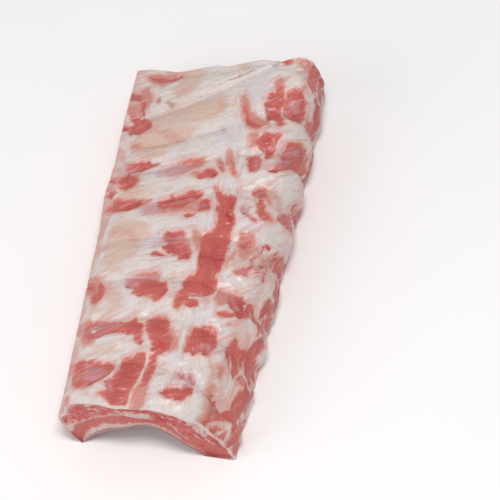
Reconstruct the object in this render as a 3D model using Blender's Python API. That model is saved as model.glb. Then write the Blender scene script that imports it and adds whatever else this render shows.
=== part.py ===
"""A raw rack of back ribs, outer side up: one arched slab of meat and fat, and the nine rib
bones that run through it from the sawn edge towards the loin side.

The rack stands on its two long edges like a low vault. X runs across the rack, from the sawn
rib tips (-X) to the loin side (+X). Y runs along it, from the near cut end (-Y) to the far one.
The origin is under the middle of the rack, on the surface that it lies on.
"""

import bpy
import bmesh
import numpy as np
from mathutils import Matrix, Vector

MM = 0.001

# --- Driving dimensions, in millimetres -------------------------------------------------------

MIDDLE_X = -0.95  # halfway between the sides of the sections below; it becomes x = 0
NEAR_Y = -127.5  # the cut end nearest the viewer
FAR_Y = 127.5
ROWS = 55  # cross-sections along the rack
SIDE_POINTS = 21  # points across the outer side, and as many across the inner side

# The outer side of three cross-sections, from the sawn foot over the crown to the loin foot.
OUTER_NEAR = ((-45.5, 0), (-48, 17), (-47.5, 35), (-41, 45), (-20, 47), (14, 46.3), (29, 40.5),
              (38, 27), (47, 16), (50, 0))
OUTER_MIDDLE = ((-52.5, 0), (-54.5, 13), (-53, 27), (-46, 36), (-27, 40.5), (14, 45.5),
                (36, 44), (48, 37), (55, 20), (54, 0))
OUTER_FAR = ((-59.5, 0), (-61.5, 8), (-59.5, 16), (-52, 22), (-32, 27.5), (12, 41.5),
             (36, 47.5), (50, 44), (57, 24), (56, 0))

# The hollow under the same three sections.
INNER_NEAR = ((-40, 0), (-31, 9.5), (-19, 18.5), (-5, 24.5), (4, 24.3), (13, 18.5), (22, 8.5),
              (30, 0))
INNER_MIDDLE = ((-46, 0), (-36, 7.5), (-23, 15), (-6, 21.5), (10, 24.5), (23, 21.5), (31, 13),
                (37, 0))
INNER_FAR = ((-50, 0), (-38, 5), (-22, 9.5), (-2, 16.5), (16, 22.5), (30, 22), (39, 14), (43, 0))

# Where each furrow between two ribs crosses the sawn edge, the middle and the loin side. The
# first and last rows are the outer borders of the end ribs.
FURROW_X = (-50.0, 0.0, 40.0)
FURROWS = (
    (122, 122, 124),
    (84, 106, 130),
    (60, 73, 88),
    (40, 50, 58),
    (14, 24, 32),
    (-13, -7, -8),
    (-44, -37, -46),
    (-75, -65, -76),
    (-108, -97, -112),
    (-127, -127, -124),
)
RIB_COUNT = len(FURROWS) - 1
RIB_RISE = 2.6  # a rib's crest above the furrows beside it, on the outer side
INNER_RISE = 1.2  # the same on the inner side, where the bones lie under a thin membrane
KNOB_X = 47.0  # fat-covered knobs at the loin ends of the ribs
KNOB_RADIUS = 10.0
KNOB_RISE = 2.4
FLAP_Y = 33.0  # a flap of meat that stands out of the sawn edge
FLAP_RADIUS = 7.0
FLAP_RISE = 3.0
CUT_WOBBLE = 1.3  # how far the two cut ends wander from flat, inwards
CUT_WAVE = 34.0  # the length of that wave across the rack
CUT_DEPTH = 14.0  # how far in from an end the wave dies away

BONE_HALF_WIDTH = 5.8  # along the rack
BONE_HALF_THICKNESS = 4.2  # through the slab
BONE_HEAD = 1.18  # how much thicker the loin end of a bone is than its sawn end
BONE_SIDES = 10
BONE_RINGS = 9
BONE_END_X = 33.0
FIRST_BONE_END_X = 8.0  # the first rib leans, and stops short of the far cut
BONE_PROUD = 0.3  # a sawn end stands this far out of the meat
CLEARANCE = 0.3  # between a bone and the meat around it
CUTTER_OVERRUN = 12.0


# --- Curves and sections ----------------------------------------------------------------------

def smooth_curve(points, count):
    """Points evenly spaced by parameter on a Catmull-Rom curve through the given ones."""
    knots = np.array(points, float)
    padded = np.vstack([2 * knots[0] - knots[1], knots, 2 * knots[-1] - knots[-2]])
    place = np.linspace(0, len(knots) - 1, count)
    index = np.minimum(place.astype(int), len(knots) - 2)
    t = (place - index)[:, None]
    a, b, c, d = (padded[index + k] for k in range(4))
    return 0.5 * (2 * b + (c - a) * t + (2 * a - 5 * b + 4 * c - d) * t**2
                  + (3 * b - a - 3 * c + d) * t**3)


def blend_sections(near, middle, far, y, count):
    """The cross-section at y: a parabola through the near, middle and far sections."""
    s = (y - NEAR_Y) / (FAR_Y - NEAR_Y)
    weights = ((1 - s) * (1 - 2 * s), 4 * s * (1 - s), s * (2 * s - 1))
    return sum(w * smooth_curve(p, count) for w, p in zip(weights, (near, middle, far)))


def furrow_y(x):
    """The y of every furrow line at x, farthest first."""
    x0, x1, x2 = FURROW_X
    weights = (
        (x - x1) * (x - x2) / ((x0 - x1) * (x0 - x2)),
        (x - x0) * (x - x2) / ((x1 - x0) * (x1 - x2)),
        (x - x0) * (x - x1) / ((x2 - x0) * (x2 - x1)),
    )
    return np.array(FURROWS, float) @ np.array(weights)


def rib_swell(x, y):
    """From -0.5 in a furrow to 0.5 on a rib's crest."""
    lines = furrow_y(np.clip(x, *FURROW_X[::2]))
    rib = int(np.clip(np.sum(lines > y) - 1, 0, RIB_COUNT - 1))
    t = np.clip((y - lines[rib + 1]) / (lines[rib] - lines[rib + 1]), 0, 1)
    return np.sin(np.pi * t) ** 0.8 - 0.5


def knob_swell(x, y):
    """Rises to 1 at the loin end of each rib."""
    lines = furrow_y(FURROW_X[2])
    centres = (lines[:-1] + lines[1:]) / 2
    nearest = np.min(np.abs(centres - y))
    return np.exp(-((x - KNOB_X) ** 2 + nearest**2) / KNOB_RADIUS**2)


def flap_swell(x, y):
    """Rises to 1 in the middle of the flap on the sawn edge."""
    reach = np.clip((-x - 44.0) / 6.0, 0, 1)
    return reach * np.exp(-((y - FLAP_Y) / FLAP_RADIUS) ** 2)


def cut_shift(x, y):
    """How far a point near either cut end moves inwards, along the rack."""
    wave = CUT_WOBBLE * (0.5 + 0.5 * np.sin(2 * np.pi * x / CUT_WAVE + 1.0))
    near = np.clip(1 - (y - NEAR_Y) / CUT_DEPTH, 0, 1)
    far = np.clip(1 - (FAR_Y - y) / CUT_DEPTH, 0, 1)
    return wave * (near - far)


def outward(section):
    """Unit vectors at right angles to a section that runs from -X over the top to +X."""
    along = np.gradient(section, axis=0)
    across = np.stack([-along[:, 1], along[:, 0]], axis=1)
    return across / np.linalg.norm(across, axis=1, keepdims=True)


def outer_section(y):
    section = blend_sections(OUTER_NEAR, OUTER_MIDDLE, OUTER_FAR, y, SIDE_POINTS)
    swell = np.array([RIB_RISE * rib_swell(x, y) + KNOB_RISE * knob_swell(x, y)
                      + FLAP_RISE * flap_swell(x, y) for x, _ in section])
    lift = np.clip(section[:, 1] / 15.0, 0, 1)  # the feet stay flat
    section = section + outward(section) * (swell * lift)[:, None]
    section[[0, -1], 1] = 0
    return section


def inner_section(y):
    section = blend_sections(INNER_NEAR, INNER_MIDDLE, INNER_FAR, y, SIDE_POINTS)
    swell = np.array([INNER_RISE * rib_swell(x, y) for x, _ in section])
    lift = np.clip(section[:, 1] / 10.0, 0, 1)
    section = section - outward(section) * (swell * lift)[:, None]
    section[[0, -1], 1] = 0
    return section


def height_at(section, x):
    """The height of a section's upper branch at x, or 0 beyond its ends."""
    first, last = int(np.argmin(section[:, 0])), int(np.argmax(section[:, 0]))
    branch = section[first:last + 1]
    return float(np.interp(x, branch[:, 0], branch[:, 1], left=0.0, right=0.0))


def sawn_wall_x(y, z):
    """The x of the sawn edge's wall at height z."""
    wall = outer_section(y)[:SIDE_POINTS // 3]
    return float(np.interp(z, wall[:, 1], wall[:, 0]))


# --- Meshes -----------------------------------------------------------------------------------

def new_object(name, mesh, colour, roughness):
    """Links a mesh as an object in metres, with its own material."""
    mesh.transform(Matrix.Scale(MM, 4) @ Matrix.Translation((-MIDDLE_X, 0, 0)))
    material = bpy.data.materials.new(name)
    material.use_nodes = True
    shader = material.node_tree.nodes["Principled BSDF"]
    shader.inputs["Base Color"].default_value = (*colour, 1)
    shader.inputs["Roughness"].default_value = roughness
    shader.inputs["Metallic"].default_value = 0
    mesh.materials.append(material)
    obj = bpy.data.objects.new(name, mesh)
    bpy.context.scene.collection.objects.link(obj)
    return obj


def finished_mesh(name, work):
    bmesh.ops.recalc_face_normals(work, faces=work.faces)
    mesh = bpy.data.meshes.new(name)
    work.to_mesh(mesh)
    work.free()
    return mesh


def skin(work, rings, closed):
    """Quads between neighbouring rings of vertices."""
    for low, high in zip(rings[:-1], rings[1:]):
        last = len(low) if closed else len(low) - 1
        for i in range(last):
            k = (i + 1) % len(low)
            work.faces.new((low[i], low[k], high[k], high[i]))


def meat_mesh():
    """The slab: a closed ring at each row, outer side and back along the inner side."""
    work = bmesh.new()
    rings = []
    for y in np.linspace(NEAR_Y, FAR_Y, ROWS):
        ring = np.vstack([outer_section(y), inner_section(y)[::-1]])
        rings.append([work.verts.new((x, y + cut_shift(x, y), z)) for x, z in ring])
    skin(work, rings, closed=True)
    for ring in (rings[0], rings[-1]):
        outer, inner = ring[:SIDE_POINTS], ring[SIDE_POINTS:][::-1]
        skin(work, [outer, inner], closed=False)
    return finished_mesh("meat", work)


def bone_path(rib):
    """A rib's centre line, midway between the two sides of the slab, from the sawn edge."""
    def centre(x):
        lines = furrow_y(np.clip(x, *FURROW_X[::2]))
        y = (lines[rib] + lines[rib + 1]) / 2
        return y, (height_at(outer_section(y), x) + height_at(inner_section(y), x)) / 2

    y, z = centre(-44.0)
    start_x = sawn_wall_x(y, z) - BONE_PROUD
    end_x = FIRST_BONE_END_X if rib == 0 else BONE_END_X
    path = [(start_x, y, z)]
    for x in np.linspace(-38.0, end_x, BONE_RINGS - 1):
        path.append((x, *centre(x)))
    return np.array(path)


def bone_mesh(name, path, grow=0.0):
    """An oval rod along the path. A cutter grows on all sides, and past both ends."""
    along = np.gradient(path, axis=0)
    along /= np.linalg.norm(along, axis=1, keepdims=True)
    if grow:
        path = path.copy()
        path[0] -= along[0] * CUTTER_OVERRUN
        path[-1] += along[-1] * grow
    angles = np.linspace(0, 2 * np.pi, BONE_SIDES, endpoint=False)
    work = bmesh.new()
    rings = []
    for step, (point, forward) in enumerate(zip(path, along)):
        swell = 1 + (BONE_HEAD - 1) * step / (len(path) - 1)
        side = np.cross((0, 0, 1), forward)
        side /= np.linalg.norm(side)
        up = np.cross(forward, side)
        ring = [point + side * np.cos(a) * (BONE_HALF_WIDTH * swell + grow)
                + up * np.sin(a) * (BONE_HALF_THICKNESS * swell + grow) for a in angles]
        rings.append([work.verts.new(Vector(p)) for p in ring])
    skin(work, rings, closed=True)
    work.faces.new(rings[0])
    work.faces.new(rings[-1])
    return finished_mesh(name, work)


# --- The rack ---------------------------------------------------------------------------------

def smooth(obj):
    obj.data.shade_smooth()
    obj.data.set_sharp_from_angle(angle=np.radians(50))


def main():
    for obj in list(bpy.data.objects):
        bpy.data.objects.remove(obj)

    meat = new_object("meat", meat_mesh(), colour=(0.66, 0.33, 0.29), roughness=0.35)
    for rib in range(RIB_COUNT):
        path = bone_path(rib)
        name = f"rib_bone_{rib + 1}"
        bone = new_object(name, bone_mesh(name, path), colour=(0.80, 0.62, 0.52), roughness=0.5)
        smooth(bone)
        cutter = new_object(f"cutter_{rib + 1}", bone_mesh(f"cutter_{rib + 1}", path, CLEARANCE),
                            colour=(0.5, 0.5, 0.5), roughness=0.5)
        cutter.hide_render = True
        cutter.display_type = "WIRE"
        tunnel = meat.modifiers.new(f"tunnel_{rib + 1}", "BOOLEAN")
        tunnel.operation = "DIFFERENCE"
        tunnel.object = cutter
    smooth(meat)


main()
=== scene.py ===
"""The looks of a raw rack of back ribs: its skin of fat and meat, its cut ends and its bones.

The rack's own coordinates are millimetres: y along it, and s across its outer side, measured
along the skin from the crown, with minus towards the sawn rib tips.
"""

import math

import bmesh
import bpy
import numpy as np
from mathutils import Matrix, Vector
from mathutils.geometry import delaunay_2d_cdt


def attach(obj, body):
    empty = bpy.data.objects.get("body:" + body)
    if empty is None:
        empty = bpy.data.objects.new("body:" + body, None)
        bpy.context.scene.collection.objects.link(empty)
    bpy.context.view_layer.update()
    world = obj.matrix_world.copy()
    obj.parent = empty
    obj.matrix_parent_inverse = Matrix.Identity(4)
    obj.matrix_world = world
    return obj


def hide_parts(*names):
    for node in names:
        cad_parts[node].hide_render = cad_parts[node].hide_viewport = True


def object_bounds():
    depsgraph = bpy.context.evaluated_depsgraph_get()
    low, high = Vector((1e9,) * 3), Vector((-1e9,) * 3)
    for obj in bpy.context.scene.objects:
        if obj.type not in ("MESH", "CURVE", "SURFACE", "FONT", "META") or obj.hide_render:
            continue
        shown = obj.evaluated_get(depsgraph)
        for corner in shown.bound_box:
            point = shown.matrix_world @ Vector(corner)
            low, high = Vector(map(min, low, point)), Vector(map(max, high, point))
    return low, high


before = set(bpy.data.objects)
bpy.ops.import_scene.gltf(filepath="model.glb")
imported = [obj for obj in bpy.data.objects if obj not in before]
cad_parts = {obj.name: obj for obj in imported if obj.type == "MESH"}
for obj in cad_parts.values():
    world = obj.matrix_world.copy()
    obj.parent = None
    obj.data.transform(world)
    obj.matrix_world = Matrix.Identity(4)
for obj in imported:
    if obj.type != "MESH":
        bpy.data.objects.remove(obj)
cad_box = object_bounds()

# === Shape ====================================================================================

MM = 0.001

# --- The slab's sections, as the CAD has them -------------------------------------------------

MIDDLE_X = -0.95
NEAR_Y = -127.5
FAR_Y = 127.5
OUTER_NEAR = ((-45.5, 0), (-48, 17), (-47.5, 35), (-41, 45), (-20, 47), (14, 46.3), (29, 40.5),
              (38, 27), (47, 16), (50, 0))
OUTER_MIDDLE = ((-52.5, 0), (-54.5, 13), (-53, 27), (-46, 36), (-27, 40.5), (14, 45.5),
                (36, 44), (48, 37), (55, 20), (54, 0))
OUTER_FAR = ((-59.5, 0), (-61.5, 8), (-59.5, 16), (-52, 22), (-32, 27.5), (12, 41.5),
             (36, 47.5), (50, 44), (57, 24), (56, 0))
INNER_NEAR = ((-40, 0), (-31, 9.5), (-19, 18.5), (-5, 24.5), (4, 24.3), (13, 18.5), (22, 8.5),
              (30, 0))
INNER_MIDDLE = ((-46, 0), (-36, 7.5), (-23, 15), (-6, 21.5), (10, 24.5), (23, 21.5), (31, 13),
                (37, 0))
INNER_FAR = ((-50, 0), (-38, 5), (-22, 9.5), (-2, 16.5), (16, 22.5), (30, 22), (39, 14), (43, 0))
FURROW_X = (-50.0, 0.0, 40.0)
FURROWS = (
    (122, 122, 124),
    (84, 106, 130),
    (60, 73, 88),
    (40, 50, 58),
    (14, 24, 32),
    (-13, -7, -8),
    (-44, -37, -46),
    (-75, -65, -76),
    (-108, -97, -112),
    (-127, -127, -124),
)
RIB_COUNT = len(FURROWS) - 1
RIB_FULLNESS = 0.8  # the power of the sine that a rib's swell follows
RIB_RISE = 2.6
INNER_RISE = 1.2
KNOB_X = 47.0
KNOB_RADIUS = 10.0
KNOB_RISE = 2.4
FLAP_Y = 33.0
FLAP_RADIUS = 7.0
FLAP_RISE = 3.0
FLAP_START = 44.0
FLAP_EASE = 6.0
CUT_WOBBLE = 1.3
CUT_WAVE = 34.0
CUT_DEPTH = 14.0
OUTER_LIFT = 15.0  # below these heights the swell dies away towards the feet
INNER_LIFT = 10.0
RELIEF_LIFT = 6.0

# --- How fine the visible skin is -------------------------------------------------------------

ROW_STEP = 0.78  # along the rack
OUTER_COLUMNS = 214
INNER_COLUMNS = 44
WALL_SHARE = 0.7  # how closely the columns lie on the two walls, against those on top
SAWN_CALM = 0.85  # how much of the ribs' swell dies away at the sawn edge
SAWN_X = (-34.0, -50.0)  # between these x
STRIP_CALM = 0.55  # and under the long strip of muscle
STRIP_X = 15.0
STRIP_SPREAD = 9.0
CORNER_CUT = 0.18
OUTLINE_SPREAD = 0.35
SHAPE_MARGIN = 12.0  # how far round a drawn patch its depth is worked out
FIBRE_ANGLE = math.radians(20)  # how the fibres rise as they run towards the loin
NEAR_ANGLE = math.radians(33)  # how they rise towards the near end
STEEP_ANGLE = math.radians(42)  # and how they rise on the loin side
EDGE_ROUND = 1.3  # the rounding where the skin meets a cut end


# --- Noise ------------------------------------------------------------------------------------

def lattice(ix, iy, seed):
    """An angle for each lattice point, the same on every run."""
    mixed = (ix * 374761393 + iy * 668265263 + seed * 974634777) & 0xFFFFFFFF
    mixed = ((mixed ^ (mixed >> 13)) * 1274126177) & 0xFFFFFFFF
    return (mixed ^ (mixed >> 16)) * (2 * np.pi / 0xFFFFFFFF)


def noise(p, q, seed=0):
    """Gradient noise over the plane, about -0.7 to 0.7."""
    ip, iq = np.floor(p).astype(np.int64), np.floor(q).astype(np.int64)
    fp, fq = p - ip, q - iq
    up, uq = (f * f * f * (f * (f * 6 - 15) + 10) for f in (fp, fq))

    def corner(dp, dq):
        angle = lattice(ip + dp, iq + dq, seed)
        return np.cos(angle) * (fp - dp) + np.sin(angle) * (fq - dq)

    low = corner(0, 0) * (1 - up) + corner(1, 0) * up
    high = corner(0, 1) * (1 - up) + corner(1, 1) * up
    return low * (1 - uq) + high * uq


def fractal(p, q, octaves=3, seed=0):
    """Noise summed over octaves, each half as large and as high as the last."""
    total = 0.0
    for k in range(octaves):
        total = total + noise(p * 2**k + 17.3 * k, q * 2**k - 9.1 * k, seed + k) / 2**k
    return total


def step(low, high, value):
    """A smooth step from 0 at low to 1 at high."""
    t = np.clip((value - low) / (high - low), 0, 1)
    return t * t * (3 - 2 * t)


def bell(value, middle, spread):
    """A bell curve: 1 at its middle, 0.37 at this spread from it."""
    return np.exp(-(((value - middle) / spread) ** 2))


# --- Curves -----------------------------------------------------------------------------------

def catmull(points, place):
    """A Catmull-Rom curve through the points, read at each place from 0 to 1."""
    knots = np.array(points, float)
    padded = np.vstack([2 * knots[0] - knots[1], knots, 2 * knots[-1] - knots[-2]])
    place = np.asarray(place) * (len(knots) - 1)
    index = np.minimum(place.astype(int), len(knots) - 2)
    t = (place - index)[..., None]
    a, b, c, d = (padded[index + k] for k in range(4))
    return 0.5 * (2 * b + (c - a) * t + (2 * a - 5 * b + 4 * c - d) * t**2
                  + (3 * b - a - 3 * c + d) * t**3)


def blend_sections(near, middle, far, y, place):
    """Sections at each y, read at each place: an array of rows, places and (x, z)."""
    s = ((y - NEAR_Y) / (FAR_Y - NEAR_Y))[:, None, None]
    weights = ((1 - s) * (1 - 2 * s), 4 * s * (1 - s), s * (2 * s - 1))
    return sum(w * catmull(p, place)[None] for w, p in zip(weights, (near, middle, far)))


def furrow_y(x):
    """The y of every furrow line at each x, as an array with the lines first."""
    x0, x1, x2 = FURROW_X
    x = np.clip(x, x0, x2)
    weights = np.stack([
        (x - x1) * (x - x2) / ((x0 - x1) * (x0 - x2)),
        (x - x0) * (x - x2) / ((x1 - x0) * (x1 - x2)),
        (x - x0) * (x - x1) / ((x2 - x0) * (x2 - x1)),
    ])
    return np.tensordot(np.array(FURROWS, float), weights, axes=1)


def rib_place(x, y):
    """Which rib each point lies on, counting from the far end, and how far across it (0 to 1)."""
    lines = furrow_y(x)
    rib = np.clip(np.sum(lines > y, axis=0) - 1, 0, RIB_COUNT - 1)
    high = np.take_along_axis(lines, rib[None], axis=0)[0]
    low = np.take_along_axis(lines, rib[None] + 1, axis=0)[0]
    return rib, np.clip((y - low) / (high - low), 0, 1)


def rib_swell(x, y):
    return np.sin(np.pi * rib_place(x, y)[1]) ** RIB_FULLNESS - 0.5


def knob_swell(x, y):
    lines = furrow_y(np.array(FURROW_X[2]))
    centres = (lines[:-1] + lines[1:]) / 2
    nearest = np.min(np.abs(centres[:, None, None] - y[None]), axis=0)
    return np.exp(-((x - KNOB_X) ** 2 + nearest**2) / KNOB_RADIUS**2)


def flap_swell(x, y):
    return np.clip((-x - FLAP_START) / FLAP_EASE, 0, 1) * bell(y, FLAP_Y, FLAP_RADIUS)


def cut_shift(x, y):
    wave = CUT_WOBBLE * (0.5 + 0.5 * np.sin(2 * np.pi * x / CUT_WAVE + 1.0))
    near = np.clip(1 - (y - NEAR_Y) / CUT_DEPTH, 0, 1)
    far = np.clip(1 - (FAR_Y - y) / CUT_DEPTH, 0, 1)
    return wave * (near - far)


def outward(sections):
    """Unit vectors at right angles to sections that run from -X over the top to +X."""
    along = np.gradient(sections, axis=1)
    across = np.stack([-along[..., 1], along[..., 0]], axis=-1)
    return across / np.linalg.norm(across, axis=-1, keepdims=True)


def even_places(curve_points, count, wall_share):
    """Places along a section, even by length but sparser on its walls by wall_share."""
    fine = np.linspace(0, 1, 2001)
    curve = catmull(curve_points, fine)
    stride = np.linalg.norm(np.diff(curve, axis=0), axis=1)
    steep = np.abs(np.diff(curve[:, 1])) > 0.75 * stride
    weight = stride * np.where(steep, wall_share, 1.0)
    total = np.concatenate([[0], np.cumsum(weight)])
    return np.interp(np.linspace(0, total[-1], count), total, fine)


def skin_rows():
    """The y of each row, closer together at the two rounded ends."""
    inner = np.linspace(NEAR_Y + EDGE_ROUND, FAR_Y - EDGE_ROUND,
                        int((FAR_Y - NEAR_Y) / ROW_STEP))
    rim = EDGE_ROUND * (1 - np.cos(np.linspace(0, np.pi / 2, 5)))[:-1]
    return np.concatenate([NEAR_Y + rim, inner, (FAR_Y - rim)[::-1]])


def outer_base(y, place):
    """(x, z) of the outer side, with the relief that the CAD has, and each point's s."""
    sections = blend_sections(OUTER_NEAR, OUTER_MIDDLE, OUTER_FAR, y, place)
    grid_y = np.broadcast_to(y[:, None], sections.shape[:2])
    x = sections[..., 0]
    calm = 1 - SAWN_CALM * step(*SAWN_X, x) - STRIP_CALM * bell(x, STRIP_X, STRIP_SPREAD)
    swell = (RIB_RISE * calm * rib_swell(x, grid_y) + KNOB_RISE * knob_swell(x, grid_y)
             + FLAP_RISE * flap_swell(x, grid_y))
    lift = np.clip(sections[..., 1] / OUTER_LIFT, 0, 1)
    normals = outward(sections)
    stride = np.linalg.norm(np.diff(sections, axis=1), axis=-1)
    length = np.concatenate([np.zeros((len(y), 1)), np.cumsum(stride, axis=1)], axis=1)
    crown = np.array([np.interp(0, row_x, row_l) for row_x, row_l in zip(x, length)])
    return sections + normals * (swell * lift)[..., None], normals, length - crown[:, None]


# --- Patches: how deep each point lies inside one, in millimetres -----------------------------

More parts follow.
